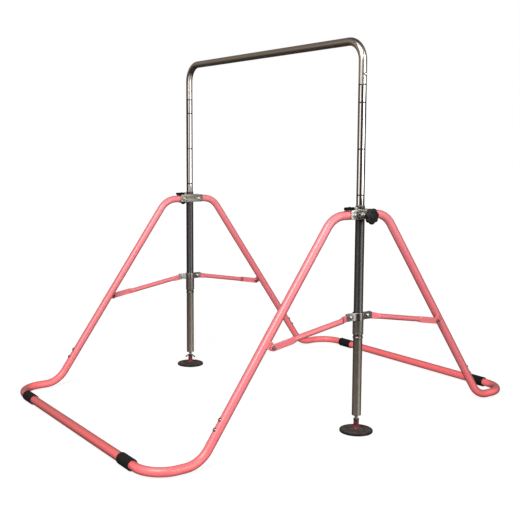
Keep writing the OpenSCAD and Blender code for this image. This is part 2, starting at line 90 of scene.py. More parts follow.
WALL = 1.5 * MM
RAIL_R = high("kip_rail", 1)
BAR_Z = high("kip_rail", 2) - RAIL_R
SEAM_Z = low("kip_rail", 2)
RAIL_BEND = 70 * MM
POLE_LOW = low("right_pole", 2)
POLE_TOP = high("right_pole", 2)
NECK_R = RAIL_R - WALL - 0.1 * MM
BUTTON_Z = middle("right_snap_button", 2)
GROOVE_DEPTH = 0.45 * MM
GROOVE_GAP = 3 * MM

POST_WALL = 1.2 * MM
POST_LOW = low("right_post", 2)
POST_TOP = high("right_post", 2)
POST_R = min(r for z, r in points("right_post") if z >= POST_TOP - 2 * MM) + POST_WALL
POST_BORE = POST_R - POST_WALL
bead_heights = [z for z, r in points("right_post") if r > POST_R + 1.5 * MM]
BEAD_Z = (min(bead_heights) + max(bead_heights)) / 2
BEAD_R = high("right_post", 0) - POST_X

FLOOR_R = (high("front_cross_tube", 2) - low("front_cross_tube", 2)) / 2
FLOOR_X = high("front_cross_tube", 0)
FLOOR_Y = middle("back_cross_tube", 1)
FLOOR_Z = middle("front_cross_tube", 2)
LEG_R = FLOOR_R - 1 * MM
SLEEVE_R = high("front_sleeves", 2) - FLOOR_Z
SLEEVE_OUT = high("front_sleeves", 0)

# The leg's lower end is a disc square to its axis, so its box gives the end of the centre line
JOINT_Y = high("back_right_leg", 1) - LEG_R * math.cos(LEAN)
JOINT_Z = low("back_right_leg", 2) + LEG_R * math.sin(LEAN)
KNEE_Y = JOINT_Y - (PIVOT_Z - JOINT_Z) * math.tan(LEAN)
KNEE_BEND = 90 * MM
FOOT_BEND = 100 * MM
CORNER_BEND = 95 * MM
STUB_START = low("back_right_leg", 1)
TURN = math.pi / 2 - LEAN
JOINT_RUN = (PIVOT_Z - JOINT_Z) / math.cos(LEAN)
KNEE_TAN = KNEE_BEND * math.tan(TURN / 2)
FOOT_TAN = FOOT_BEND * math.tan(TURN / 2)
FOOT_Y = KNEE_Y + (PIVOT_Z - FLOOR_Z) * math.tan(LEAN)

CHEEK_IN = 16.4 * MM
CHEEK_OUT = 19.4 * MM
CHEEK_HALF = high("right_head_bracket", 1)
CHEEK_LOW = low("right_head_bracket", 2)
CHEEK_TOP = high("right_head_bracket", 2) - 10 * MM
LATCH_Y = abs(joint("right_latch_lift")["pos_m"][1])
LATCH_Z = joint("right_latch_lift")["pos_m"][2]
STUD_Z = joint("right_knob_turn")["pos_m"][2]

strut = joint("back_right_strut_turn")
SLIDE_Y = strut["pos_m"][1]
SLIDE_Z = strut["pos_m"][2]
BRACE_X = strut["pos_m"][0] - POST_X
BRACE_R = (high("back_right_brace", 0) - low("back_right_brace", 0)) / 2
LUG_BOLT = [middle("back_right_brace_bolt", axis) for axis in range(3)]
BRACE_LEN = math.hypot(LUG_BOLT[1] - SLIDE_Y, SLIDE_Z - LUG_BOLT[2])
BRACE_DROP = math.atan2(SLIDE_Z - LUG_BOLT[2], LUG_BOLT[1] - SLIDE_Y)

TONGUE_T = 4 * MM
TONGUE_H = 23 * MM
EAR_T = 2.5 * MM
EAR_GAP = 0.3 * MM
IN_X = BRACE_X - BRACE_R + TONGUE_T / 2
OUT_X = BRACE_X + BRACE_R - TONGUE_T / 2
COLLAR_LOW = low("right_slide_bush", 2)
COLLAR_TOP = high("right_slide_bush", 2)
EAR_H = 2 * (COLLAR_TOP - SLIDE_Z)
BAND_R = high("right_slide_bracket", 0) - POST_X
BAND_BORE = 17.2 * MM
EAR_END = high("right_slide_bracket", 1)


def groove_heights():
    """Heights of the setting grooves, read from the pole's points inside its outer radius."""
    seen = []
    for z, r in points("right_pole"):
        if abs(r - (RAIL_R - 0.5 * MM)) < 0.05 * MM and z < SEAM_Z - 10 * MM:
            if all(abs(z - other) > 6 * MM for other in seen):
                seen.append(z)
    return sorted(seen)


# ---------------------------------------------------------------- local frames


def shift(x=0.0, y=0.0, z=0.0):
    return Matrix.Translation((x, y, z))


def post_frame(sx, sy=1):
    """Frame of an upright: local X points outward, local Y away from the uprights' plane."""
    return Matrix(((sx, 0, 0, sx * POST_X), (0, sy, 0, 0), (0, 0, 1, 0), (0, 0, 0, 1)))


def leg_frame(sx, sy):
    """Local Z runs down the leg's axis from the knee, local Y points inward."""
    return post_frame(sx, sy) @ shift(0, KNEE_Y, PIVOT_Z) @ Matrix.Rotation(math.pi + LEAN, 4, "X")


def brace_frame(sx, sy):
    """Local Y runs along the brace from its inner pivot."""
    return post_frame(sx, sy) @ shift(0, SLIDE_Y, SLIDE_Z) @ Matrix.Rotation(-BRACE_DROP, 4, "X")


ALONG_X = Matrix.Rotation(math.pi / 2, 4, "Y")
AGAINST_X = Matrix.Rotation(-math.pi / 2, 4, "Y")
# A plate drawn in its own X-Y plane, stood up in the Y-Z plane
UPRIGHT = Matrix(((0, 0, 1, 0), (1, 0, 0, 0), (0, 1, 0, 0), (0, 0, 0, 1)))

# ---------------------------------------------------------------- mesh helpers


def add_object(name, data):
    obj = bpy.data.objects.new(name, data)
    bpy.context.scene.collection.objects.link(obj)
    return obj


def smooth(mesh, sharp=32):
    """Smooth shading, with edges sharper than so many degrees kept crisp."""
    mesh.shade_smooth()
    mesh.set_sharp_from_angle(angle=math.radians(sharp))


def make(verts, faces, place=STILL, sharp=32):
    """A smooth-shaded mesh object from points in a local frame."""
    mesh = bpy.data.meshes.new("part")
    mesh.from_pydata([place @ Vector(v) for v in verts], [], faces)
    work = bmesh.new()
    work.from_mesh(mesh)
    bmesh.ops.remove_doubles(work, verts=work.verts, dist=1e-6)
    bmesh.ops.recalc_face_normals(work, faces=work.faces)
    work.to_mesh(mesh)
    work.free()
    smooth(mesh, sharp)
    return add_object("part", mesh)


def loft(rings, place=STILL, loop=False, caps=(True, True), sharp=32):
    """Skins rings of equal point counts, capped at the ends or joined up into a loop."""
    rows, segs = len(rings), len(rings[0])
    faces = []
    for i in range(rows if loop else rows - 1):
        a, b = i * segs, (i + 1) % rows * segs
        for k in range(segs):
            m = (k + 1) % segs
            faces.append((a + k, a + m, b + m, b + k))
    if not loop and caps[0]:
        faces.append(tuple(reversed(range(segs))))
    if not loop and caps[1]:
        faces.append(tuple((rows - 1) * segs + k for k in range(segs)))
    return make([v for ring in rings for v in ring], faces, place, sharp)


def circle(x, y, r, count=28):
    turns = [TAU * k / count for k in range(count)]
    return [(x + r * math.cos(a), y + r * math.sin(a)) for a in turns]


def level(r, z, count):
    """A level ring of points round local Z."""
    return [(x, y, z) for x, y in circle(0, 0, r, count)]


def hoop(centre, u, v, r, count):
    """A ring of points in the plane of u and v."""
    return [centre + (u * x + v * y) * r for x, y in circle(0, 0, 1, count)]


def arc(x, y, r, a0, a1, count=8):
    """Points of an arc from a0 to a1 degrees."""
    turns = [math.radians(a0 + (a1 - a0) * k / count) for k in range(count + 1)]
    return [(x + r * math.cos(a), y + r * math.sin(a)) for a in turns]


def baked(obj):
    """The mesh that an object's modifiers, or its curve, give."""
    bpy.context.view_layer.update()
    evaluated = obj.evaluated_get(bpy.context.evaluated_depsgraph_get())
    return bpy.data.meshes.new_from_object(evaluated)


def drill(obj, radius, z0, z1, *places):
    """Cuts a straight hole along local Z of each place."""
    for place in places:
        change = obj.modifiers.new("cut", "BOOLEAN")
        change.operation = "DIFFERENCE"
        change.solver = "EXACT"
        change.object = rod(radius, z0, z1, place, e=0)
    mesh = baked(obj)
    for change in obj.modifiers:
        bpy.data.objects.remove(change.object)
    obj.modifiers.clear()
    obj.data = mesh
    mesh.set_sharp_from_angle(angle=math.radians(32))
    return obj


def join(objs):
    """Joins objects into one mesh."""
    work = bmesh.new()
    for obj in objs:
        work.from_mesh(obj.data)
        bpy.data.objects.remove(obj)
    mesh = bpy.data.meshes.new("joined")
    work.to_mesh(mesh)
    work.free()
    smooth(mesh)
    return add_object("joined", mesh)


def soften(profile, e, closed=False, steps=3):
    """Rounds the corners of a polyline by about e."""
    out = []
    count = len(profile)
    for i, p in enumerate(profile):
        p = Vector(p)
        if not closed and i in (0, count - 1):
            out.append(p)
            continue
        a, b = Vector(profile[i - 1]), Vector(profile[(i + 1) % count])
        da, db = a - p, b - p
        reach = min(e, 0.45 * da.length, 0.45 * db.length)
        a, b = p + da.normalized() * reach, p + db.normalized() * reach
        for k in range(steps + 1):
            t = k / steps
            out.append(a * (1 - t) ** 2 + p * 2 * t * (1 - t) + b * t * t)
    return out


def near(r, z, *steps):
    """Profile points at steps of so many millimetres from a radius and a height."""
    return [(r + dr * MM, z + dz * MM) for dr, dz in steps]


def lathe(profile, place, segs=48, loop=False, e=0.0):
    """Turns a profile of (radius, height) about local Z. loop closes it on itself."""
    if e:
        profile = soften(profile, e, closed=loop)
    rings = [level(r, z, segs) for r, z in profile]
    return loft(rings, place, loop, (profile[0][0] > 0, profile[-1][0] > 0))


def rod(r, z0, z1, place, e=0.3 * MM, segs=32):
    return lathe([(0, z0), (r, z0), (r, z1), (0, z1)], place, segs, e=e)


def hollow(outer, inner, z0, z1, place):
    """A short tube with rounded rims."""
    return lathe([(outer, z0), (outer, z1), (inner, z1), (inner, z0)], place, loop=True, e=0.4 * MM)


class Path:
    """Centre line of straight runs and bends, walked from a start point along a heading."""

    def __init__(self, start, heading, side, r):
        self.p, self.t, self.n = Vector(start), Vector(heading), Vector(side)
        self.rings = []
        self.ring(r)

    def ring(self, r):
        self.r = r
        self.rings.append((self.p.copy(), self.t.copy(), self.n.copy(), r))
        return self

    def run(self, length, r=None):
        self.p = self.p + self.t * length
        return self.ring(r or self.r)

    def bend(self, radius, angle, toward, step=4.0):
        p, t, n, toward = self.p.copy(), self.t.copy(), self.n.copy(), Vector(toward)
        axis = t.cross(toward)
        count = max(2, round(math.degrees(angle) / step))
        for k in range(1, count + 1):
            a = angle * k / count
            turn = Matrix.Rotation(a, 3, axis)
            self.p = p + toward * radius * (1 - math.cos(a)) + t * radius * math.sin(a)
            self.t, self.n = turn @ t, turn @ n
            self.ring(self.r)
        return self


def tube(path, place=STILL, segs=48, rim=0.35 * MM):
    """A hollow tube round a path, with rounded rims at both ends."""
    rings = path.rings
    (p0, t0, n0, r0), (p1, t1, n1, r1) = rings[0], rings[-1]
    stations = [(p0, t0, n0, r0 - rim), (p0 + t0 * rim, t0, n0, r0)] + rings[1:-1]
    stations += [(p1 - t1 * rim, t1, n1, r1), (p1, t1, n1, r1 - rim)]
    stations += [(p, t, n, r - WALL) for p, t, n, r in reversed(rings)]
    return loft([hoop(p, n, t.cross(n), r, segs) for p, t, n, r in stations], place, loop=True)


def shaped(sections, place, segs=32):
    """A solid through sections of (centre, u, v, half_u, half_v, squareness)."""
    def squared(value, power):
        return math.copysign(abs(value) ** (2 / power), value)

    turns = [TAU * (k + 0.5) / segs for k in range(segs)]
    rings = [[Vector(c) + Vector(u) * (squared(math.cos(a), power) * half_u)
              + Vector(v) * (squared(math.sin(a), power) * half_v) for a in turns]
             for c, u, v, half_u, half_v, power in sections]
    return loft(rings, place)


def plate(loops, thickness, place, edge=0.5 * MM):
    """A flat plate with rounded edges, from its outline and its holes in its own X-Y plane."""
    curve = bpy.data.curves.new("outline", "CURVE")
    curve.dimensions = "2D"
    curve.fill_mode = "BOTH"
    curve.extrude = thickness / 2 - edge
    curve.bevel_depth = edge
    curve.bevel_resolution = 2
    curve.offset = -edge
    for loop in loops:
        spline = curve.splines.new("POLY")
        spline.points.add(len(loop) - 1)
        for point, (x, y) in zip(spline.points, loop):
            point.co = (x, y, 0, 1)
        spline.use_cyclic_u = True
    drawn = add_object("outline", curve)
    mesh = baked(drawn)
    bpy.data.objects.remove(drawn)
    verts = [v.co.copy() for v in mesh.vertices]
    return make(verts, [tuple(p.vertices) for p in mesh.polygons], place)


def polar(r, a, z):
    return (r * math.cos(a), r * math.sin(a), z)


def hexagonal(across, z0, z1, place, bore=0.0, segs=72):
    """A bolt head with its top corners turned off or, round a bore, a nut with both ends so."""
    apothem = across / 2
    turns = [TAU * k / segs for k in range(segs)]
    outline = [apothem / math.cos((a + TAU / 12) % (TAU / 6) - TAU / 12) for a in turns]
    rings = []
    for z in [z0 + (z1 - z0) * k / 8 for k in range(9)]:
        depth = min(z1 - z, z - z0) if bore else z1 - z
        limit = min(across, apothem * 0.97 + depth * 1.9)
        rings.append([polar(min(r, limit), a, z) for r, a in zip(outline, turns)])
    if bore:
        rings += [level(bore, z1, segs), level(bore, z0, segs)]
    return loft(rings, place, loop=bool(bore), sharp=25)


def thread(r, z0, z1, pitch, place, segs=24):
    """A threaded rod with a real helix."""
    depth = 0.55 * pitch
    rows = max(8, int((z1 - z0) / pitch * 8))
    rings = []
    for i in range(rows + 1):
        z = z0 + (z1 - z0) * i / rows
        ends = min(1.0, (z - z0) / pitch, (z1 - z) / pitch)
        ring = []
        for k in range(segs):
            phase = ((z - z0) / pitch - k / segs) % 1.0
            dip = depth * (1 - min(1.0, 2.6 * min(phase, 1 - phase))) * 0.9
            ring.append(polar(r - dip * ends - (1 - ends) * depth * 0.8, TAU * k / segs, z))
        rings.append(ring)
    return loft(rings, place, sharp=50)


def bead(centres, r, place, ripple=2.2 * MM, segs=10):
    """A weld bead: a thin ridge along centres with the ripples that a welder leaves."""
    rings, along = [], 0.0
    centres = [Vector(c) for c in centres]
    last = len(centres) - 1
    for i, c in enumerate(centres):
        t = (centres[min(i + 1, last)] - centres[max(i - 1, 0)]).normalized()
        n = t.orthogonal().normalized() if i == 0 else (n - t * n.dot(t)).normalized()
        if i:
            along += (c - centres[i - 1]).length
        end = min(1.0, 0.35 + min(i, last - i) * 0.4)
        ridge = r * end * (1 + 0.13 * math.sin(TAU * along / ripple))
        rings.append(hoop(c, n, t.cross(n), ridge, segs))
    return loft(rings, place, sharp=60)


# ---------------------------------------------------------------- materials


class Nodes:
    """A node tree under construction."""

    def __init__(self, tree, coordinates):
        self.tree = tree
        tree.nodes.clear()
        self.where = self.add("TexCoord").outputs[coordinates]

    def put(self, socket, value):
        """Sets an input, or links it when value is a socket."""
        if isinstance(value, bpy.types.NodeSocket):
            self.tree.links.new(value, socket)
        elif socket.type == "RGBA":
            socket.default_value = (*value, 1)
        else:
            socket.default_value = value

    def add(self, kind, *values, **named):
        """A new node with its first inputs, or those named, set or linked."""
        node = self.tree.nodes.new("ShaderNode" + kind)
        for socket, value in zip(node.inputs, values):
            self.put(socket, value)
        for name, value in named.items():
            self.put(node.inputs[name], value)
        return node

    def noise(self, scale, detail=3.0, rough=0.5, stretch=(1, 1, 1), distort=0.0):
        """Noise with about scale features per metre."""
        mapping = self.add("Mapping", Vector=self.where, Scale=stretch)
        return self.add("TexNoise", Vector=mapping.outputs["Vector"], Scale=scale, Detail=detail,
                        Roughness=rough, Distortion=distort).outputs["Fac"]

    def ramp(self, fac, *stops):
        """A grey ramp; each stop is (position, value)."""
        node = self.add("ValToRGB", fac)
        elements = node.color_ramp.elements
        while len(elements) < len(stops):
            elements.new(0.5)
        for element, (position, value) in zip(elements, stops):
            element.position = position
            element.color = (value, value, value, 1)
        return node.outputs["Color"]

    def mix(self, fac, a, b):
        """Colour a where fac is 0, b where it is 1."""
        node = self.add("Mix", fac)
        node.data_type = "RGBA"
        first_colour, second_colour, mixed_colour = node.inputs[6], node.inputs[7], node.outputs[2]
        self.put(first_colour, a)
        self.put(second_colour, b)
        return mixed_colour

    def tint(self, base, fac, amount, colour):
        """Lays colour over base by fac times amount."""
        return self.mix(self.times(fac, amount), base, colour)

    def fade(self, fac, zero_at, one_at):
        """0 to 1 as fac goes from zero_at to one_at, either way round."""
        return self.ramp(fac, *sorted([(zero_at, 0.0), (one_at, 1.0)]))

    def math(self, kind, a, b=0.0):
        node = self.add("Math", a, b)
        node.operation = kind
        return node.outputs[0]

    def times(self, a, b):
        return self.math("MULTIPLY", a, b)

    def line(self, x, slope, start):
        """x times slope, plus start."""
        return self.math("ADD", self.times(x, slope), start)

    def reach(self, x, y):
        """Distance from the origin of a point in the plane."""
        return self.math("SQRT", self.math("ADD", self.times(x, x), self.times(y, y)))

    def axis(self, name):
        """One coordinate of the point, in metres."""
        return self.add("SeparateXYZ", self.where).outputs[name]


class Shader(Nodes):
    """A material's node tree round one principled shader."""

    NAMES = {"base": "Base Color", "metal": "Metallic", "rough": "Roughness", "normal": "Normal",
             "specular": "Specular IOR Level", "coat": "Coat Weight",
             "coat_rough": "Coat Roughness", "coat_normal": "Coat Normal",
             "glow": "Emission Color", "power": "Emission Strength"}

    def __init__(self, name):
        self.material = bpy.data.materials.new(name)
        self.material.use_nodes = True
        super().__init__(self.material.node_tree, "Object")
        self.bsdf = self.add("BsdfPrincipled")
        self.add("OutputMaterial", Surface=self.bsdf.outputs["BSDF"])

    def set(self, **values):
        for key, value in values.items():
            self.put(self.bsdf.inputs[self.NAMES[key]], value)
        return self.material

    def bump(self, height, strength, distance):
        node = self.add("Bump", Height=height, Strength=strength, Distance=distance)
        return node.outputs["Normal"]

    def facing(self):
        """0 where the surface faces the viewer, rising to 1 at its outline."""
        return self.add("LayerWeight", Blend=0.5).outputs["Facing"]

    def edges(self, radius):
        """0 on open faces, rising toward 1 along convex and concave edges."""
        bevel = self.add("Bevel", Radius=radius)
        bevel.samples = 4
        flat = self.add("NewGeometry").outputs["Normal"]
        dot = self.add("VectorMath", bevel.outputs["Normal"], flat)
        dot.operation = "DOT_PRODUCT"
        return self.math("SUBTRACT", 1.0, dot.outputs["Value"])


def scaled(colour, factor, offset=0.0):
    """A colour times factor, plus offset."""
    return tuple(min(1.0, c * factor + offset) for c in colour)


# Painted shade, laid in grooves, seams and the gap round a snap button
GAP_SHADE = (0.03, 0.027, 0.024)


def paint_material():
    """Gloss powder coat: orange peel, painted light that shifts its tone with height, scuffs near
    the floor, worn edges, painted shade at the outlines.
    """
    s = Shader("pink_powder_coat")
    height = s.axis("Z")
    base = s.mix(s.noise(9, 2), (0.70, 0.142, 0.160), (0.77, 0.168, 0.186))
    # Painted light: a brighter red near the floor and a paler, sheen-like pink toward the heads
    base = s.tint(base, s.fade(height, 0.16, 0.03), 0.85, (1.0, 0.150, 0.156))
    base = s.tint(base, s.fade(height, 0.50, 0.76), 0.6, (0.88, 0.235, 0.262))
    specks = s.fade(s.noise(900, 2, 0.6), 0.70, 0.78)
    base = s.tint(base, specks, 0.06, (0.90, 0.40, 0.40))
    near_floor = s.fade(height, 0.12, 0.0)
    scuffs = s.fade(s.noise(210, 6, 0.7, distort=1.2), 0.60, 0.68)
    scuffs = s.times(scuffs, s.line(near_floor, 0.5, 0.06))
    base = s.mix(scuffs, base, (0.55, 0.13, 0.12))
    wear = s.fade(s.times(s.edges(0.5 * MM), s.noise(330, 4, 0.6)), 0.10, 0.20)
    base = s.tint(base, wear, 0.5, (0.66, 0.26, 0.24))
    # Painted shade: a tube's outline is darkened in its colour
    base = s.tint(base, s.fade(s.facing(), 0.34, 0.72), 0.85, (0.26, 0.040, 0.042))
    peel = s.bump(s.noise(420, 2, 0.45), 0.04, 0.25 * MM)
    rough = s.line(scuffs, 0.2, s.line(s.noise(60), 0.12, 0.40))
    return s.set(base=base, rough=rough, normal=peel, coat=0.7, coat_rough=0.30, coat_normal=peel)


def chrome_material(name, tint, rough, stretch=(1, 1, 1), haze=0.0, lines=(), shade=0.0,
                    button=None):
    """Plated tube: drawn streaks, a slight haze, small pits, and painted shade in its grooves, its
    seam and the gap round its snap button.

    stretch draws the streaks out, lines holds the height and half width of each groove or seam,
    shade says how dark the painted shade at the outline is, and button is a snap button's height
    and its gap's radius.
    """
    s = Shader(name)
    streaks = s.noise(500, 2, 0.5, stretch)
    cloud = s.noise(24, 4, 0.6)
    base = s.tint(tint, cloud, 0.35, scaled(tint, 0.8))
    pits = s.fade(s.noise(1100, 2), 0.30, 0.24)
    base = s.tint(base, pits, 0.2, (0.05, 0.045, 0.04))
    rough_map = s.line(cloud, 0.08 + haze, s.line(streaks, 0.10, rough - 0.05))
    # Painted reflection: the colour darkens toward the outline, where a plated tube mirrors the
    # dark part of the room
    base = s.tint(base, s.fade(s.facing(), 0.18, 0.42), shade, (0.045, 0.04, 0.036))
    # Painted shade in the gap round the snap button, on the outer side of the bar
    if button:
        height, gap_r = button
        away = s.reach(s.axis("Y"), s.math("SUBTRACT", s.axis("Z"), height))
        gap = s.fade(s.math("DIVIDE", away, 2 * gap_r), 0.56, 0.42)
        outside = s.math("GREATER_THAN", s.math("ABSOLUTE", s.axis("X")), POST_X)
        base = s.tint(base, gap, outside, GAP_SHADE)
    # Painted shade in each groove and seam, which are also made rougher
    for height, half_width in lines:
        away = s.math("ABSOLUTE", s.math("SUBTRACT", s.axis("Z"), height))
        groove_shade = s.ramp(s.math("DIVIDE", away, 2 * half_width), (0.32, 0.92), (0.68, 0.0))
        base = s.mix(groove_shade, base, GAP_SHADE)
        rough_map = s.line(groove_shade, 0.3, rough_map)
    return s.set(base=base, metal=1.0, rough=rough_map, normal=s.bump(streaks, 0.006, 0.1 * MM))


def post_material():
    """Dark glossy plating above the stop bead, a browner satin below it, with drawn streaks."""
    s = Shader("post_dark_plating")
    below = s.math("ADD", s.math("SUBTRACT", s.axis("Z"), BEAD_Z), 0.5)
    split = s.fade(below, 0.503, 0.497)
    cloud = s.noise(30, 4, 0.6)
    upper = s.mix(cloud, (0.080, 0.080, 0.078), (0.115, 0.115, 0.112))
    lower = s.mix(cloud, (0.44, 0.39, 0.33), (0.56, 0.50, 0.42))
    base = s.mix(split, upper, lower)
    # Painted shade: the plating darkens toward the tube's outline
    base = s.tint(base, s.fade(s.facing(), 0.25, 0.50), 0.6, (0.05, 0.045, 0.04))
    pits = s.fade(s.noise(900, 2), 0.33, 0.26)
    base = s.tint(base, pits, 0.5, (0.02, 0.018, 0.016))
    rough = s.line(s.noise(120), 0.10, s.line(split, 0.12, 0.32))
    scratches = s.noise(400, 2, 0.5, (1, 1, 0.03))
    return s.set(base=base, metal=1.0, rough=rough, normal=s.bump(scratches, 0.008, 0.1 * MM))


def steel_material(name, tint, rough, mottle=0.25):
    """Zinc-plated or bare pressed steel: mottled tone, fine grain, brighter worn edges."""
    s = Shader(name)
    cloud = s.noise(130, 5, 0.6)
    base = s.tint(tint, cloud, mottle * 2, scaled(tint, 0.6))
    wear = s.fade(s.times(s.edges(0.4 * MM), s.noise(500)), 0.08, 0.2)
    base = s.tint(base, wear, 0.7, scaled(tint, 1.5))
    grime = s.fade(s.noise(260, 4, 0.7), 0.42, 0.30)
    base = s.tint(base, grime, 0.35, scaled(tint, 0.3))
    return s.set(base=base, metal=1.0, rough=s.line(cloud, 0.22, rough - 0.08),
                 normal=s.bump(s.noise(700, 2), 0.03, 0.1 * MM))


def plastic_material(name, tint, rough, grain=0.2, specular=0.3):
    """Moulded plastic: fine spark grain, dusty tone, edges rubbed shinier."""
    s = Shader(name)
    dust = s.fade(s.noise(70, 4, 0.65), 0.45, 0.75)
    base = s.tint(tint, dust, 0.25, scaled(tint, 1.9, 0.006))
    rub = s.fade(s.edges(0.8 * MM), 0.03, 0.25)
    rough_map = s.math("SUBTRACT", s.line(s.noise(200), 0.15, rough - 0.07), s.times(rub, 0.12))
    return s.set(base=base, rough=rough_map, specular=specular,
                 normal=s.bump(s.noise(2600, 2, 0.6), grain, 0.08 * MM))


def rubber_material(name, tint, rough):
    """Rubber: matt, with a dusty tone and pale scuffs."""
    s = Shader(name)
    cloud = s.noise(55, 5, 0.7)
    base = s.mix(cloud, tint, scaled(tint, 1.8, 0.004))
    scuffs = s.fade(s.noise(160, 5, 0.7, distort=2.0), 0.62, 0.72)
    base = s.tint(base, scuffs, 0.3, (0.03, 0.028, 0.027))
    return s.set(base=base, rough=s.line(cloud, 0.2, rough - 0.1), specular=0.25,
                 normal=s.bump(s.noise(1300, 3, 0.6), 0.35, 0.12 * MM))


def pad_material():
    """Foot pad: dark rubber disc with a blacker rim and a dark red hub."""
    s = Shader("foot_pad_rubber")
    x = s.math("SUBTRACT", s.math("ABSOLUTE", s.axis("X")), POST_X)
    # Radii in tenths of a metre, to suit the ramp
    radius = s.times(s.reach(x, s.axis("Y")), 10.0)
    cloud = s.noise(60, 5, 0.7)
    disc = s.mix(cloud, (0.030, 0.024, 0.022), (0.060, 0.046, 0.043))
    hub = s.mix(cloud, (0.10, 0.016, 0.020), (0.17, 0.032, 0.036))
    base = s.mix(s.fade(radius, 0.19, 0.10), disc, hub)
    base = s.mix(s.fade(radius, 0.50, 0.53), base, (0.008, 0.007, 0.007))
    scuffs = s.fade(s.noise(170, 5, 0.7, distort=2.0), 0.60, 0.70)
    base = s.tint(base, scuffs, 0.35, (0.11, 0.09, 0.085))
    return s.set(base=base, rough=s.line(cloud, 0.2, 0.32), specular=0.3,
                 normal=s.bump(s.noise(900, 3, 0.6), 0.2, 0.12 * MM))


SEAM_LINE = (SEAM_Z, 2.4 * MM)
POLE_LINES = [SEAM_LINE] + [(z + GROOVE_GAP / 2, 2.2 * MM) for z in groove_heights()]

# Each finish is a slot of the record, and the material that is its look
PAINT = "pink_paint", paint_material()
BAR_CHROME = "rail_chrome", chrome_material("bar_chrome", (0.92, 0.86, 0.79), 0.20, (0.02, 1, 1),
                                            0.06, [SEAM_LINE], 0.6, (BUTTON_Z, 6.4 * MM))
POLE_CHROME = "rail_chrome", chrome_material("pole_chrome", (0.93, 0.92, 0.90), 0.07, (1, 1, 0.02),
                                             0.0, POLE_LINES, 0.92)
DARK_CHROME = "dark_chrome", chrome_material("dark_chrome", (0.42, 0.41, 0.39), 0.26)
BUTTON = "zinc_steel", chrome_material("button_chrome", (0.93, 0.92, 0.90), 0.20, shade=0.9)
POST_PLATING = "post_grey", post_material()
COLLAR = "dark_chrome", steel_material("collar_steel", (0.30, 0.28, 0.24), 0.42)
ZINC = "zinc_steel", steel_material("zinc_plate", (0.66, 0.65, 0.62), 0.30)
# Painted light: one bracket steel in a shaded and a lit copy, the left head bracket darker and the
# right brighter
SHADED_BRACKET_STEEL = steel_material("bracket_steel_dull", (0.36, 0.34, 0.30), 0.42, 0.3)
LIT_BRACKET_STEEL = steel_material("bracket_steel_bright", (0.66, 0.64, 0.60), 0.34, 0.3)
BRACKETS = {"left": ("bracket_steel", SHADED_BRACKET_STEEL), "right": ("bracket_steel", LIT_BRACKET_STEEL)}
DARK_STEEL = "dark_steel", steel_material("dark_steel", (0.16, 0.13, 0.12), 0.34)
BOLT_STEEL = "dark_steel", steel_material("bolt_steel", (0.34, 0.26, 0.24), 0.38)
SCREW = "dark_steel", steel_material("blued_screw", (0.42, 0.40, 0.38), 0.16)
PLASTIC = "black_plastic", plastic_material("black_plastic", (0.006, 0.006, 0.006), 0.48)
MATT_PLASTIC = "black_plastic", plastic_material("matt_black_plastic", (0.004, 0.004, 0.004), 0.62,
                                                 specular=0.12)
NYLON = "nylon", plastic_material("black_nylon", (0.012, 0.012, 0.012), 0.45, 0.1)
GREY_NYLON = "nylon", plastic_material("grey_nylon", (0.17, 0.165, 0.155), 0.40, 0.1)
RUBBER = "sleeve_rubber", rubber_material("black_rubber", (0.0035, 0.003, 0.003), 0.72)
PAD = "foot_rubber", pad_material()


def piece(name, made, body, finish, *nodes):
    """Names a part, or several joined into one, puts it on its body, gives it its finish's
    material, and hides the CAD nodes that it stands for."""
    obj = join(made) if isinstance(made, list) else made
    slot, material = finish
    obj.name = obj.data.name = name
    obj.data.materials.clear()
    obj.data.materials.append(material)
    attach(obj, body)
    if nodes:
        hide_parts(*nodes)


# ---------------------------------------------------------------- rail, poles, buttons


def build_rail():
    drop = BAR_Z - RAIL_BEND - SEAM_Z
    path = Path((-POST_X, 0, SEAM_Z), (0, 0, 1), (0, 1, 0), RAIL_R).run(drop)
    path.bend(RAIL_BEND, math.pi / 2, (1, 0, 0), step=3).run(2 * (POST_X - RAIL_BEND))
    path.bend(RAIL_BEND, math.pi / 2, (0, 0, -1), step=3).run(drop)
    rail = tube(path, segs=64)
    holes = [post_frame(sx) @ shift(z=BUTTON_Z) @ ALONG_X for side, sx in SIDES]
    drill(rail, HOLE_R, 8 * MM, 20 * MM, *holes)
    piece("rail_tube", rail, "rail", BAR_CHROME, "kip_rail")


def build_poles():
    shoulder = SEAM_Z - 0.05 * MM
    bottom = RAIL_R - GROOVE_DEPTH
    profile = near(RAIL_R, POLE_LOW, (-0.5, 0), (0, 0.8))
    for groove in groove_heights():
        for z in (groove, groove + GROOVE_GAP):
            profile += near(RAIL_R, z, (0, -0.8)) + near(bottom, z, (0, -0.35), (0, 0.35))
            profile += near(RAIL_R, z, (0, 0.8))
    profile += near(RAIL_R, shoulder, (0, -0.5), (-0.5, 0)) + [(NECK_R, shoulder)]
    profile += near(NECK_R, POLE_TOP, (0, -1), (-0.8, 0))
    profile += [(NECK_R - WALL, POLE_TOP), (NECK_R - WALL, SEAM_Z - 3 * MM),
                (RAIL_R - WALL, SEAM_Z - 3 * MM), (RAIL_R - WALL, POLE_LOW)]
    tip = high("right_snap_button", 0) - POST_X
    tail = low("right_snap_button", 0) - POST_X
    dome = near(0, tail, (0, 0), (1.5, 0))
    dome += near(0, tip, (1.5, -8), (4, -8), (4, -2.2), (3.2, -0.8), (1.6, -0.1), (0, 0))
    for side, sx in SIDES:
        place = post_frame(sx) @ shift(z=BUTTON_Z) @ ALONG_X
        pole = lathe(profile, post_frame(sx), 64, loop=True)
        drill(pole, HOLE_R, 8 * MM, 20 * MM, place)
        piece(f"{side}_pole_tube", pole, "rail", POLE_CHROME, f"{side}_pole")
        # The spring clip stays as it is in the CAD
        clip = frame["nodes"][f"{side}_spring_clip"].data.materials
        clip.clear()
        clip.append(ZINC[1])
        button = lathe(dome, place, 32)
        piece(f"{side}_button_dome", button, f"{side}_button", BUTTON, f"{side}_snap_button")


# ---------------------------------------------------------------- posts, bushes, head brackets


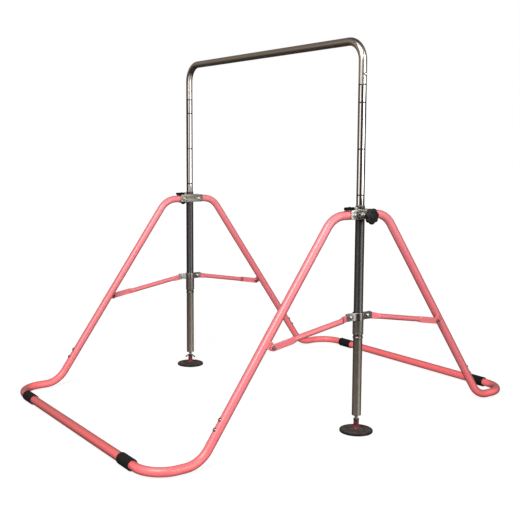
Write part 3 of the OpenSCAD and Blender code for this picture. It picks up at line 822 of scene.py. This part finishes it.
def build_posts():
    profile = near(POST_R, POST_LOW, (-0.6, 0), (0, 0.6))
    for a in [k / 8 for k in range(-8, 9)]:
        swell = (BEAD_R - POST_R) * math.cos(a * math.pi / 2) ** 1.3
        profile.append((POST_R + swell, BEAD_Z + a * 4.5 * MM))
    profile += near(POST_R, POST_TOP, (0, -0.6), (-0.6, 0))
    profile += [(POST_BORE, POST_TOP), (POST_BORE, POST_LOW)]
    bush_low, bush_top = low("post_bushes", 2), high("post_bushes", 2)
    lip_r = POST_R + 0.2 * MM
    bush = [(POST_BORE, bush_low), (POST_BORE, POST_TOP), (lip_r, POST_TOP)]
    bush += near(lip_r, bush_top, (0, -2.6), (-1, -1.6))
    bush += near(0, bush_top, (14.9, -0.4), (14.4, -0.4), (14.05, -1)) + [(14.05 * MM, bush_low)]
    plug_low, plug_top = low("post_plugs", 2), high("post_plugs", 2)
    plug = [(POST_BORE, plug_low), (POST_BORE, plug_top), (6.05 * MM, plug_top)]
    plug += near(0, plug_low, (6.05, 0), (8, 0), (8.4, 1.2), (12.6, 1.2), (13, 0))
    bushes, plugs = [], []
    for side, sx in SIDES:
        stud_at = post_frame(sx) @ shift(z=middle("right_knob_stud", 2)) @ ALONG_X
        stud_hole = (5.05 * MM, 10 * MM, 22 * MM, stud_at)
        post = drill(lathe(profile, post_frame(sx), 64, loop=True), *stud_hole)
        piece(f"{side}_post_tube", post, "uprights", POST_PLATING, f"{side}_post")
        bushes.append(drill(lathe(bush, post_frame(sx), 64, loop=True), *stud_hole))
        plugs.append(lathe(plug, post_frame(sx), loop=True))
    piece("post_bush_pair", bushes, "uprights", GREY_NYLON, "post_bushes")
    piece("post_plug_pair", plugs, "uprights", DARK_STEEL, "post_plugs")


def cheek_outline():
    """Outline of a cheek plate in the Y-Z plane, with the ear that carries the latch's pin."""
    c = 5 * MM
    ear = 6 * MM
    fillet = 2.5 * MM
    out = arc(CHEEK_HALF - c, CHEEK_LOW + c, c, -90, 0)
    out += arc(CHEEK_HALF - c, CHEEK_TOP - c, c, 0, 90)
    out += [(-LATCH_Y + ear + fillet, CHEEK_TOP)]
    out += arc(-LATCH_Y + ear + fillet, CHEEK_TOP + fillet, fillet, -90, -180, 4)[1:]
    out += arc(-LATCH_Y, LATCH_Z, ear, 0, 180, 12)
    out += arc(-LATCH_Y - ear - fillet, CHEEK_TOP + fillet, fillet, 0, -90, 4)[1:]
    out += arc(-CHEEK_HALF + c, CHEEK_TOP - c, c, 90, 180)
    out += arc(-CHEEK_HALF + c, CHEEK_LOW + c, c, 180, 270)
    return out


def nyloc(place, height):
    """A lock nut: a hexagon with a turned collar over its nylon ring."""
    collar = [(6.0 * MM, height * 0.6), (5.9 * MM, height * 0.85), (5.2 * MM, height),
              (4.4 * MM, height), (HOLE_R, height * 0.6)]
    return [hexagonal(13 * MM, 0, height * 0.64, place, bore=HOLE_R),
            lathe(collar, place, 40, loop=True, e=0.3 * MM)]


def head_plates(place):
    """The two cheeks, the web between them, the knob's boss, the pressed rings and the welds."""
    thick = CHEEK_OUT - CHEEK_IN
    loops = [cheek_outline()] + [circle(y, PIVOT_Z, HOLE_R) for y in (-PIVOT_Y, PIVOT_Y)]
    loops.append(circle(-LATCH_Y, LATCH_Z, 2.55 * MM, 20))
    parts = [plate(loops, thick, place @ shift(x=x) @ UPRIGHT, 0.7 * MM)
             for x in (-(CHEEK_IN + CHEEK_OUT) / 2, (CHEEK_IN + CHEEK_OUT) / 2)]
    web = near(0, 0, (-17.4, -22), (17.4, -22), (17.4, 22), (-17.4, 22))
    web_at = place @ shift(z=CHEEK_TOP - 2 * MM)
    parts.append(plate([web, circle(0, 0, POST_R, 40)], 4 * MM, web_at))
    boss = near(0, 0, (9, 17), (9, 29.2), (8.2, 30), (5.6, 30), (5.05, 29.4), (5.05, 17))
    parts.append(lathe(boss, place @ shift(z=STUD_Z) @ ALONG_X, 40, loop=True))
    rim = near(0, 0, (12.2, -0.3), (11.6, 0.9), (10.2, 0.9), (9.6, -0.3))
    for x, way in ((-CHEEK_OUT, AGAINST_X), (CHEEK_OUT, ALONG_X)):
        at = place @ shift(x, -PIVOT_Y, PIVOT_Z) @ way
        parts.append(lathe(rim, at, 40, loop=True, e=0.4 * MM))
    boss_weld = [(CHEEK_OUT + 0.4 * MM, y, STUD_Z + z) for y, z in arc(0, 0, 9.3 * MM, 0, 360, 48)]
    parts.append(bead(boss_weld, 1.3 * MM, place))
    top_weld = [(x, y, CHEEK_TOP + 0.4 * MM) for x, y in arc(0, 0, POST_R + 0.5 * MM, 0, 360, 56)]
    parts.append(bead(top_weld, 1.2 * MM, place))
    return parts


def build_head_brackets():
    head = CHEEK_OUT + 1.3 * MM
    nut_seat = CHEEK_OUT + 1.2 * MM
    bolts, nuts, pins = [], [], []
    for side, sx in SIDES:
        place = post_frame(sx)
        piece(f"{side}_head_plates", head_plates(place), "uprights", BRACKETS[side],
              f"{side}_head_bracket")
        pin_half = CHEEK_OUT + 1.5 * MM
        pin_at = place @ shift(0, -LATCH_Y, LATCH_Z) @ ALONG_X
        pins.append(rod(2.5 * MM, -pin_half, pin_half, pin_at, 0.5 * MM, 24))
        for sy in (-1, 1):
            at = post_frame(sx, sy) @ shift(0, PIVOT_Y, PIVOT_Z)
            bolts.append(rod(4 * MM, -26.5 * MM, CHEEK_OUT, at @ ALONG_X, 0.5 * MM))
            bolts.append(hollow(8.4 * MM, 4 * MM, CHEEK_OUT, head, at @ ALONG_X))
            bolts.append(hexagonal(13 * MM, head, CHEEK_OUT + 4.6 * MM, at @ ALONG_X))
            nuts.append(hollow(8.06 * MM, HOLE_R, CHEEK_OUT, nut_seat, at @ AGAINST_X))
            nuts += nyloc(at @ shift(x=-nut_seat) @ AGAINST_X, 5.2 * MM)
    piece("head_bolt_set", bolts, "uprights", ZINC, "head_pivot_bolts")
    piece("head_nut_set", nuts, "uprights", ZINC, "head_pivot_nuts")
    piece("latch_pin_pair", pins, "uprights", ZINC, "latch_pins")


# ---------------------------------------------------------------- knobs and latches


def build_knobs():
    """Seven-lobed star knobs, each with a dished face and a threaded stud."""
    outer = max(abs(high("right_clamp_knob", 1)), abs(low("right_clamp_knob", 1)),
                high("right_clamp_knob", 2) - STUD_Z) + 0.4 * MM
    x_in = low("right_clamp_knob", 0) - POST_X
    x_out = high("right_clamp_knob", 0) - POST_X
    x_back = x_in + 12 * MM
    turns = [TAU * k / 140 for k in range(140)]
    # Round lobes with narrower valleys
    lobes = [outer - 3.6 * MM * (1 - (0.5 + 0.5 * math.cos(7 * a)) ** 0.7) for a in turns]
    hub = near(0, x_in, (8.2, 0), (8.8, 0.6), (9.4, 6)) + near(0, x_back, (11.5, -2), (14, -0.2))
    insets = near(0, x_back, (4.2, 0), (1.6, 0.5), (0.4, 1.9), (0, 4), (0, 9), (0.5, 11.4),
                  (1.7, 13.2), (3.6, 14))
    dish = near(0, x_back, (15.6, 14.1), (15.0, 13.3), (13.6, 13.1), (13.0, 13.6))
    dish += near(0, x_out, (12.5, -0.5), (11.4, -0.1), (6.0, 0), (0, 0))
    rings = [level(r, x, 140) for r, x in hub]
    rings += [[polar(r - inset, a, x) for r, a in zip(lobes, turns)] for inset, x in insets]
    rings += [level(r, x, 140) for r, x in dish]
    stud_r = 4.9 * MM
    for side, sx in SIDES:
        place = post_frame(sx) @ shift(z=STUD_Z) @ ALONG_X
        knob = loft(rings, place, caps=(True, False), sharp=40)
        piece(f"{side}_star_knob", knob, f"{side}_knob", PLASTIC, f"{side}_clamp_knob")
        tip = low("right_knob_stud", 0) - POST_X
        parts = [rod(stud_r, tip, 24 * MM, place, 0.4 * MM),
                 thread(stud_r, 23 * MM, x_in + 4 * MM, 1.5 * MM, place)]
        piece(f"{side}_clamp_stud", parts, f"{side}_knob", ZINC, f"{side}_knob_stud")


def build_latches():
    """Moulded levers: a waisted blade with grip ridges at its tip."""
    start, tip = high("right_latch_lever", 1), abs(low("right_latch_lever", 1))
    half_w = high("right_latch_lever", 0) - POST_X
    half_t = (high("right_latch_lever", 2) - low("right_latch_lever", 2)) / 2
    blade = []
    for t in [k / 24 for k in range(25)]:
        nose = min(1.0, min(t, 1 - t) / 0.06)
        end = math.sqrt(max(0.02, 1 - (1 - nose) ** 2))
        waist = 1 - 0.14 * math.sin(math.pi * min(1.0, t / 0.8)) ** 2
        blade.append(((0, start - (start + tip) * t, LATCH_Z), (1, 0, 0), (0, 0, 1),
                      half_w * waist * (0.75 + 0.25 * end), half_t * end, 4.5))
    ridge_z = LATCH_Z + half_t - 0.4 * MM
    size = 0.9 * MM
    ridges = [[((x * MM, (5 + 4 * k) * MM - tip, ridge_z), (0, 1, 0), (0, 0, 1), size, size, 2.5)
               for x in (-4.6, -4.2, 4.2, 4.6)] for k in range(4)]
    for side, sx in SIDES:
        place = post_frame(sx)
        parts = [shaped(blade, place)] + [shaped(ridge, place, 12) for ridge in ridges]
        piece(f"{side}_latch_blade", parts, f"{side}_latch", MATT_PLASTIC, f"{side}_latch_lever")


# ---------------------------------------------------------------- legs and floor frame


def build_legs():
    for half, sy, side, sx in LEGS:
        path = Path((0, STUB_START, PIVOT_Z), (0, 1, 0), (1, 0, 0), LEG_R)
        path.run(KNEE_Y - KNEE_TAN - STUB_START)
        path.bend(KNEE_BEND, TURN, (0, 0, -1)).run(JOINT_RUN - KNEE_TAN)
        leg = tube(path, post_frame(sx, sy))
        pivot_at = post_frame(sx, sy) @ shift(0, PIVOT_Y, PIVOT_Z) @ ALONG_X
        drill(leg, HOLE_R, -20 * MM, 20 * MM, pivot_at)
        piece(f"{half}_{side}_leg_tube", leg, f"{half}_frame", PAINT, f"{half}_{side}_leg")


def build_corners():
    """Bent foot tubes, with a spigot into the leg and another into the floor tube."""
    neck = LEG_R - WALL - 0.1 * MM
    floor_neck = FLOOR_R - WALL - 0.1 * MM
    spigot = 62 * MM
    gap = 0.2 * MM
    rim = 0.3 * MM
    low_run = (PIVOT_Z - FLOOR_Z) / math.cos(LEAN) - FOOT_TAN - JOINT_RUN - gap
    down = Vector((0, math.sin(LEAN), -math.cos(LEAN)))
    out = Vector((0, math.cos(LEAN), math.sin(LEAN)))
    seam = Vector((0, KNEE_Y, PIVOT_Z)) + down * (JOINT_RUN + gap)
    for half, sy, side, sx in LEGS:
        path = Path(seam - down * spigot, down, (1, 0, 0), neck)
        path.run(spigot).ring(LEG_R - rim).run(rim, LEG_R).run(low_run - rim)
        path.bend(FOOT_BEND, TURN, out).run(FLOOR_Y - CORNER_BEND - FOOT_Y - FOOT_TAN)
        path.bend(CORNER_BEND, math.pi / 2, (-1, 0, 0))
        path.run(POST_X - CORNER_BEND - FLOOR_X - gap - rim)
        path.run(rim, LEG_R - rim).ring(floor_neck).run(spigot)
        corner = tube(path, post_frame(sx, sy))
        piece(f"{half}_{side}_corner_tube", corner, f"{half}_frame", PAINT, f"{half}_{side}_corner")


def build_floor_tubes():
    length = 2 * (SLEEVE_OUT - FLOOR_X)
    x0, x1 = FLOOR_X - length / 2, FLOOR_X - length / 2 + length
    sleeve = near(SLEEVE_R, x0, (-1.6, 0), (-0.5, 0.5), (0, 1.6))
    for rib in [4, 9, 14, 19] + [length / MM - k for k in (19, 14, 9, 4)]:
        sleeve += near(SLEEVE_R, x0 + rib * MM, (0, -1.2), (-0.9, -0.6), (-0.9, 0.6), (0, 1.2))
    sleeve += near(SLEEVE_R, x1, (0, -1.6), (-0.5, -0.5), (-1.6, 0))
    fit = LEG_R + 0.05 * MM
    sleeve += [(fit, x1), (fit, FLOOR_X), (FLOOR_R, FLOOR_X), (FLOOR_R, x0)]
    for half, sy in HALVES:
        path = Path((-FLOOR_X, sy * FLOOR_Y, FLOOR_Z), (1, 0, 0), (0, 0, 1), FLOOR_R)
        piece(f"{half}_floor_tube", tube(path.run(2 * FLOOR_X)), f"{half}_frame", PAINT,
              f"{half}_cross_tube")
        sleeves = [lathe(sleeve, shift(0, sy * FLOOR_Y, FLOOR_Z) @ Matrix.Diagonal((sx, 1, 1, 1))
                         @ ALONG_X, 64, loop=True) for side, sx in SIDES]
        piece(f"{half}_grip_sleeves", sleeves, f"{half}_frame", RUBBER, f"{half}_sleeves")


def screw_runs():
    """Distances down the leg's axis of its two screws, read from the CAD screws."""
    into = leg_frame(1, 1).inverted()
    verts = frame["nodes"]["back_joint_screws"].data.vertices
    runs = [(into @ v.co).z for v in verts if v.co.x > 0]
    halfway = (min(runs) + max(runs)) / 2
    upper, lower = [r for r in runs if r < halfway], [r for r in runs if r >= halfway]
    return [(min(part) + max(part)) / 2 for part in (upper, lower)]


def build_screws():
    """Dome-headed screws with a hollow in the head, on a washer, through leg and corner tube."""
    screw = [(0, 10 * MM), (3.0 * MM, 10 * MM)]
    screw += near(0, LEG_R, (3.0, 0), (6.5, 0), (6.5, 1.3), (6.0, 2.5), (4.8, 3.5), (3.0, 4.0),
                  (2.2, 3.95), (2.1, 1.9), (0, 1.8))
    for half, sy in HALVES:
        outward = Matrix.Rotation(math.pi / 2, 4, "X")
        parts = [lathe(screw, leg_frame(sx, sy) @ shift(z=run) @ outward, 36)
                 for side, sx in SIDES for run in screw_runs()]
        piece(f"{half}_screw_set", parts, f"{half}_frame", SCREW, f"{half}_joint_screws")


def build_lugs():
    """Flat lugs welded to the legs, with the nut on the inner face."""
    _, offset, run = leg_frame(1, 1).inverted() @ Vector(LUG_BOLT)
    x_in = 10.8 * MM
    thick = 4 * MM
    r = 12 * MM
    washer = 1.2 * MM
    root = math.sqrt(LEG_R ** 2 - (x_in + thick) ** 2) * 0.5 + 1 * MM
    outline = [(root, run - r - 3 * MM)] + arc(offset, run, r, -90, 90, 16)
    outline.append((root, run + r + 3 * MM))
    weld_z = [run - r - 2.5 * MM + (2 * r + 5 * MM) * k / 40 for k in range(41)]
    weld_x = [x for x in (x_in - 0.1 * MM, x_in + thick + 0.1 * MM) if x < LEG_R]
    for half, sy in HALVES:
        lugs, nuts = [], []
        for side, sx in SIDES:
            place = leg_frame(sx, sy)
            lugs.append(plate([outline, circle(offset, run, HOLE_R)], thick,
                              place @ shift(x=x_in + thick / 2) @ UPRIGHT, 0.6 * MM))
            for x in weld_x:
                y = math.sqrt(LEG_R ** 2 - x ** 2) + 0.2 * MM
                lugs.append(bead([(x, y, z) for z in weld_z], 1.25 * MM, place))
            nut_at = place @ shift(x_in, offset, run) @ AGAINST_X
            nuts.append(hollow(8.06 * MM, HOLE_R, 0, washer, nut_at))
            nuts += nyloc(nut_at @ shift(z=washer), 4.8 * MM)
        piece(f"{half}_lug_pair", lugs, f"{half}_frame", PAINT, f"{half}_brace_lugs")
        piece(f"{half}_lug_nut_pair", nuts, f"{half}_frame", BOLT_STEEL, f"{half}_lug_nuts")


# ---------------------------------------------------------------- sliding brackets and braces


def strap(side_x, place):
    """Half of the clamp: a strap that wraps half of the post and runs out into two ears."""
    centre_r = (BAND_R + BAND_BORE) / 2
    ear_x = IN_X + side_x * (TONGUE_T / 2 + EAR_GAP + EAR_T / 2)
    round_r = 4 * MM
    flare = 5 * MM
    # The arc stops this far short of the ears, for the bends that lead into them
    ease = 0.16
    sections = []

    def section(x, y, nx, ny):
        beyond = max(0.0, abs(y) - (EAR_END - round_r))
        drop = round_r - math.sqrt(max(0.0, round_r ** 2 - beyond ** 2))
        sections.append(((x, y, SLIDE_Z), (nx, ny, 0), (0, 0, 1), EAR_T / 2, EAR_H / 2 - drop, 9))

    meet = math.sqrt(max(0.0, centre_r ** 2 - ear_x ** 2))
    a0 = math.atan2(meet, ear_x)
    first = a0 - side_x * ease
    sweep = -2 * first if side_x > 0 else TAU - 2 * first
    ear = [EAR_END - round_r + round_r * math.cos(math.pi / 2 * k / 12) for k in range(13)]
    ear.append(meet + flare)
    for y in ear:
        section(ear_x, y, side_x, 0)
    for a in [first + sweep * (k / 30) for k in range(31)]:
        section(centre_r * math.cos(a), centre_r * math.sin(a), math.cos(a), math.sin(a))
    for y in reversed(ear):
        section(ear_x, -y, side_x, 0)
    return shaped(sections, place, 36)


def build_sliders():
    outer = IN_X + TONGUE_T / 2 + EAR_GAP + EAR_T
    inner = IN_X - TONGUE_T / 2 - EAR_GAP - EAR_T
    skirt_top = SLIDE_Z - EAR_H / 2 + 1 * MM
    skirt_r = 18.7 * MM
    skirt = near(skirt_r, COLLAR_LOW, (-0.7, 0), (0, 0.8), (0, 6), (-0.5, 6.6), (-0.5, 7.6),
                 (0, 8.2))
    skirt += [(skirt_r, skirt_top), (BAND_BORE, skirt_top), (BAND_BORE, COLLAR_LOW)]
    liner = [(BAND_BORE, COLLAR_LOW), (BAND_BORE, COLLAR_TOP)]
    liner += near(POST_R, COLLAR_TOP, (0.6, 0), (0.06, -0.8))
    liner += near(POST_R, COLLAR_LOW, (0.06, 0.8), (0.6, 0))
    dome = near(0, 0, (0, 0), (7, 0), (7, 1), (6.4, 2.4), (4.6, 3.6), (2.4, 4), (0, 4))
    for side, sx in SIDES:
        place = post_frame(sx)
        holes = [place @ shift(0, y, SLIDE_Z) @ ALONG_X for y in (-SLIDE_Y, SLIDE_Y)]
        straps = [drill(strap(side_x, place), HOLE_R, -12 * MM, 20 * MM, *holes)
                  for side_x in (-1, 1)]
        piece(f"{side}_slide_clamp", straps, f"{side}_slider", DARK_CHROME, f"{side}_slide_bracket")
        piece(f"{side}_slide_skirt", lathe(skirt, place, 64, loop=True), f"{side}_slider", COLLAR)
        piece(f"{side}_slide_liner", lathe(liner, place, 64, loop=True), f"{side}_slider", NYLON,
              f"{side}_slide_bush")
        bolts = []
        for sy in (-1, 1):
            at = post_frame(sx, sy) @ shift(0, SLIDE_Y, SLIDE_Z)
            bolts.append(rod(4 * MM, inner, outer, at @ ALONG_X, 0))
            bolts += [lathe(dome, at @ shift(x=x) @ way, 36, e=0.3 * MM)
                      for x, way in ((outer, ALONG_X), (inner, AGAINST_X))]
        piece(f"{side}_slide_bolt_pair", bolts, f"{side}_slider", ZINC, f"{side}_slide_bolts")


def brace_sections():
    """A round tube pressed flat at both ends, shifted in at the slider and out at the leg."""
    inner_flat, inner_taper = 28 * MM, 22 * MM
    outer_flat, outer_taper = 72 * MM, 28 * MM
    r = TONGUE_H / 2
    ends = [r * math.sin(math.radians(a)) for a in (12, 24, 36, 48, 60, 70, 80, 88)]
    stations = [-y for y in reversed(ends)] + [0, 10 * MM, 20 * MM]
    stations += [inner_flat + inner_taper * k / 10 for k in range(11)]
    stations += [BRACE_LEN * 0.35, BRACE_LEN * 0.5]
    stations += [BRACE_LEN - outer_flat - outer_taper * (1 - k / 12) for k in range(13)]
    stations += [BRACE_LEN - 40 * MM, BRACE_LEN - 20 * MM, BRACE_LEN]
    stations += [BRACE_LEN + y for y in ends]
    sections = []
    for y in stations:
        inside = y < inner_flat + inner_taper
        if inside:
            flat = (inner_flat + inner_taper - y) / inner_taper
        else:
            flat = (y - (BRACE_LEN - outer_flat - outer_taper)) / outer_taper
        flat = min(1.0, max(0.0, flat))
        ease = flat * flat * (3 - 2 * flat)
        # Between round and flat the tube bulges a little, as pressed tube does
        bulge = 0.5 * MM * math.sin(math.pi * ease)
        centre = (BRACE_X + ((IN_X if inside else OUT_X) - BRACE_X) * ease, y, 0)
        half_u = BRACE_R + (TONGUE_T / 2 - BRACE_R) * ease
        half_v = BRACE_R + (TONGUE_H / 2 - BRACE_R) * ease + bulge
        beyond = max(0.0, -y, y - BRACE_LEN)
        if beyond > 0:
            half_v = math.sqrt(max(0.0, r * r - beyond * beyond))
        edge = 1.0 if beyond < r * 0.97 else 0.8
        sections.append((centre, (1, 0, 0), (0, 0, 1), half_u * edge, max(half_v, 0.4 * MM),
                         2 + 5 * ease ** 2))
    return sections


def build_braces():
    reach = 6 * MM
    face = OUT_X + TONGUE_T / 2
    for half, sy, side, sx in LEGS:
        place = brace_frame(sx, sy)
        arm = shaped(brace_sections(), place, 48)
        drill(arm, HOLE_R, -reach, reach, place @ shift(IN_X) @ ALONG_X,
              place @ shift(OUT_X, BRACE_LEN) @ ALONG_X)
        piece(f"{half}_{side}_brace_tube", arm, f"{half}_{side}_strut", PAINT,
              f"{half}_{side}_brace")
        at = place @ shift(y=BRACE_LEN) @ ALONG_X
        parts = [rod(4 * MM, face - TONGUE_T, face, at, 0),
                 hollow(7.5 * MM, 4 * MM, face, face + 1 * MM, at),
                 hexagonal(12.6 * MM, face + 1 * MM, face + 4.5 * MM, at)]
        piece(f"{half}_{side}_brace_bolt_head", parts, f"{half}_{side}_strut", BOLT_STEEL,
              f"{half}_{side}_brace_bolt")


# ---------------------------------------------------------------- levelling feet


def spoke(degrees, rows, power, place, segs):
    """A solid that runs outward from an upright's axis. rows hold radius, height, half width and
    half height in millimetres."""
    d = Vector((math.cos(math.radians(degrees)), math.sin(math.radians(degrees)), 0))
    sections = [(d * r * MM + Vector((0, 0, z * MM)), (-d.y, d.x, 0), (0, 0, 1), w * MM, h * MM,
                 power) for r, z, w, h in rows]
    return shaped(sections, place, segs)


def build_feet():
    rim = high("right_foot_pad", 0) - POST_X
    hub_top = high("right_foot_pad", 2)
    stem_low, stem_top = low("right_foot_stem", 2), high("right_foot_stem", 2)
    stem_r = high("right_foot_stem", 0) - POST_X
    nut_low, nut_top = hub_top + 1 * MM, high("right_wing_nut", 2)
    disc = [(0, 0)] + near(rim, 0, (-3, 0), (-0.6, 0.8), (0, 2.4), (0, 5.6), (-0.8, 7.2), (-3, 8),
                           (-6.5, 7.6), (-8, 5.8))
    groove_r = rim - 10 * MM
    while groove_r > 26 * MM:
        disc += near(groove_r, 0, (0, 5.9), (-0.8, 6.7), (-2.2, 6.7), (-3.0, 5.9))
        groove_r -= 6 * MM
    disc += near(0, 0, (23, 7.6), (17, 10.5), (12.5, 15), (10, 21), (9.5, 26))
    disc += near(0, hub_top, (9.5, -1), (8.6, 0))
    disc += [(stem_r, hub_top), (stem_r, stem_low), (0, stem_low)]
    rib = [(9, 12, 1.3, 8), (12, 10, 1.3, 6.5), (18, 8, 1.3, 3.6), (27, 6.6, 1.3, 2.2),
           (39, 5.8, 1.3, 1.9), (48, 5.4, 1.3, 1.4)]
    hub = near(0, nut_low, (10, 0)) + near(0, nut_top, (10, -1.4), (8.6, 0), (6.05, 0))
    hub.append((6.05 * MM, nut_low))
    wing = [(9, 0.0, 1.9, 2.7), (11.5, -2.2, 1.5, 3.1), (14, -4.6, 1.4, 3.6), (17, -7.2, 1.6, 4.0),
            (20, -8.6, 1.6, 3.4), (22.2, -9.2, 1.2, 1.8)]
    for side, sx in SIDES:
        place = post_frame(sx)
        parts = [lathe(disc, place, 96)]
        parts += [spoke(45 * (k + 0.5), rib, 3, place, 12) for k in range(8)]
        piece(f"{side}_foot_disc", parts, f"{side}_foot", PAD, f"{side}_foot_pad")
        screw = thread(stem_r, stem_low, stem_top, 2 * MM, place)
        piece(f"{side}_foot_screw", screw, f"{side}_foot", ZINC, f"{side}_foot_stem")
        wings_at = place @ shift(z=(nut_top + nut_low) / 2)
        parts = [lathe(hub, place, 40, loop=True, e=0.5 * MM)]
        parts += [spoke(degrees, wing, 2.6, wings_at, 20) for degrees in (130, 310)]
        piece(f"{side}_foot_wing_nut", parts, f"{side}_lock_nut", DARK_STEEL, f"{side}_wing_nut")


for build in (build_rail, build_poles, build_posts, build_head_brackets, build_knobs, build_latches,
              build_legs, build_corners, build_floor_tubes, build_screws, build_lugs, build_sliders,
              build_braces, build_feet):
    build()

# ---------------------------------------------------------------- stage, light, camera

LAMP = (1.0, 0.985, 0.965)
CAMERA_AT = Vector((2.6336, -1.9542, 0.9807))
CAMERA_YAW = math.radians(55.639)
CAMERA_PITCH = math.radians(6.584)
CAMERA_ROLL = math.radians(0.08)
CAMERA_LENS = 57.907
CAMERA_SHIFT = (0.0561, -0.0300)


def build_stage():
    """A white sweep: it glows evenly for the camera, and still takes soft shadows."""
    size = 30
    floor = make([(-size, -size, 0), (size, -size, 0), (size, size, 0), (-size, size, 0)],
                 [(0, 1, 2, 3)], shift(z=-0.2 * MM))
    floor.name = "floor"
    s = Shader("pale_floor")
    away = s.fade(s.times(s.reach(s.axis("X"), s.axis("Y")), 0.1), 0.12, 0.32)
    seen = s.add("LightPath").outputs["Is Camera Ray"]
    s.set(base=s.mix(s.noise(3), (0.16, 0.16, 0.16), (0.20, 0.20, 0.20)), rough=0.8, specular=0.0,
          glow=(1.0, 1.0, 1.0), power=s.line(seen, s.line(away, 0.12, 0.42), 0.44))
    floor.data.materials.append(s.material)
    floor.visible_glossy = False


def build_card():
    """A tall lit card close to the right upright, seen only in reflections."""
    at = Vector((0.50, -1.50, 1.10))
    across = Vector((math.cos(math.radians(15)), math.sin(math.radians(15)), 0)) * 0.42
    rise = Vector((0, 0, 1.5))
    corners = [at - across - rise, at + across - rise, at + across + rise, at - across + rise]
    card = make(corners, [(0, 1, 2, 3)])
    card.name = "reflector"
    s = Shader("lit_card")
    fade = s.ramp(s.axis("Z"), (0.05, 0.2), (0.35, 1.0))
    s.set(base=(0.0, 0.0, 0.0), specular=0.0, rough=1.0, glow=LAMP, power=s.times(fade, 1.2))
    card.data.materials.append(s.material)
    card.visible_camera = False
    card.visible_diffuse = False
    card.visible_transmission = False
    card.visible_shadow = False


def build_camera():
    ahead = Vector((-math.sin(CAMERA_YAW) * math.cos(CAMERA_PITCH),
                    math.cos(CAMERA_YAW) * math.cos(CAMERA_PITCH), -math.sin(CAMERA_PITCH)))
    right = Vector((math.cos(CAMERA_YAW), math.sin(CAMERA_YAW), 0))
    up = right.cross(ahead)
    across = right * math.cos(CAMERA_ROLL) + up * math.sin(CAMERA_ROLL)
    upward = up * math.cos(CAMERA_ROLL) - right * math.sin(CAMERA_ROLL)
    data = bpy.data.cameras.new("camera")
    data.sensor_width = 36
    data.lens = CAMERA_LENS
    data.shift_x, data.shift_y = CAMERA_SHIFT
    camera = add_object("camera", data)
    columns = (across, upward, -ahead, CAMERA_AT)
    rows = [[column[i] for column in columns] for i in range(3)]
    camera.matrix_world = Matrix(rows + [[0, 0, 0, 1]])
    bpy.context.scene.camera = camera
    return right, up, -ahead


def area_light(name, at, target, size, power):
    data = bpy.data.lights.new(name, "AREA")
    data.shape = "RECTANGLE"
    data.size = data.size_y = size
    data.energy = power
    light = add_object(name, data)
    light.location = at
    light.rotation_euler = (target - at).to_track_quat("-Z", "Y").to_euler()


def build_world():
    """White to the camera, even light to matt surfaces, and a studio to glossy ones."""
    world = bpy.data.worlds.new("studio")
    bpy.context.scene.world = world
    world.use_nodes = True
    w = Nodes(world.node_tree, "Generated")
    azimuth = w.math("ARCTAN2", w.axis("Y"), w.axis("X"))
    signed = w.math("SUBTRACT", azimuth, math.atan2(CAMERA_AT.y, CAMERA_AT.x))
    # Turn from the camera's side, 0 toward it and 0.5 away from it, the same to left and right
    turn = w.math("DIVIDE", w.math("ARCCOSINE", w.math("COSINE", signed)), TAU)
    right_side = w.math("GREATER_THAN", w.math("SINE", signed), 0.0)
    height = w.line(w.axis("Z"), 0.5, 0.5)
    # A tall soft box on the right
    box = w.ramp(turn, (0.0, 0.0), (0.120, 0.0), (0.140, 1.0), (0.172, 1.0), (0.190, 0.0),
                 (1.0, 0.0))
    box = w.times(box, right_side)
    box = w.times(box, w.ramp(height, (0.06, 0.0), (0.20, 1.0), (0.80, 1.0), (0.94, 0.25)))
    # The far half of the room, which only the bar and the tubes' outlines reflect
    far = w.ramp(turn, (0.0, 0.14), (0.16, 0.22), (0.22, 0.30), (0.265, 0.95), (0.31, 1.25),
                 (1.0, 1.1))
    wall = w.ramp(height, (0.15, 0.035), (0.34, 0.09), (0.46, 0.24), (0.60, 0.38), (0.80, 0.25),
                  (0.95, 0.10))

    def background(colour, strength):
        return w.add("Background", colour, strength).outputs["Background"]

    room = w.add("AddShader", background(LAMP, w.times(box, 1.6)),
                 background((1.0, 0.86, 0.72), w.times(far, wall))).outputs[0]
    path = w.add("LightPath").outputs
    light = w.add("MixShader", path["Is Glossy Ray"], background((1, 1, 1), 0.42), room).outputs[0]
    shown = w.add("MixShader", path["Is Camera Ray"], light, background((1, 1, 1), 1.0)).outputs[0]
    w.add("OutputWorld", Surface=shown)


build_stage()
build_card()
right, up, back = build_camera()
build_world()
centre = Vector((0, 0, 0.6))
area_light("key", centre - right * 1.2 + up * 2.6 + back * 3.4, centre, 2.2, 190)
area_light("fill", centre + right * 2.6 + up * 0.8 + back * 2.6, centre, 2.4, 50)
bpy.context.scene.view_settings.view_transform = "Standard"
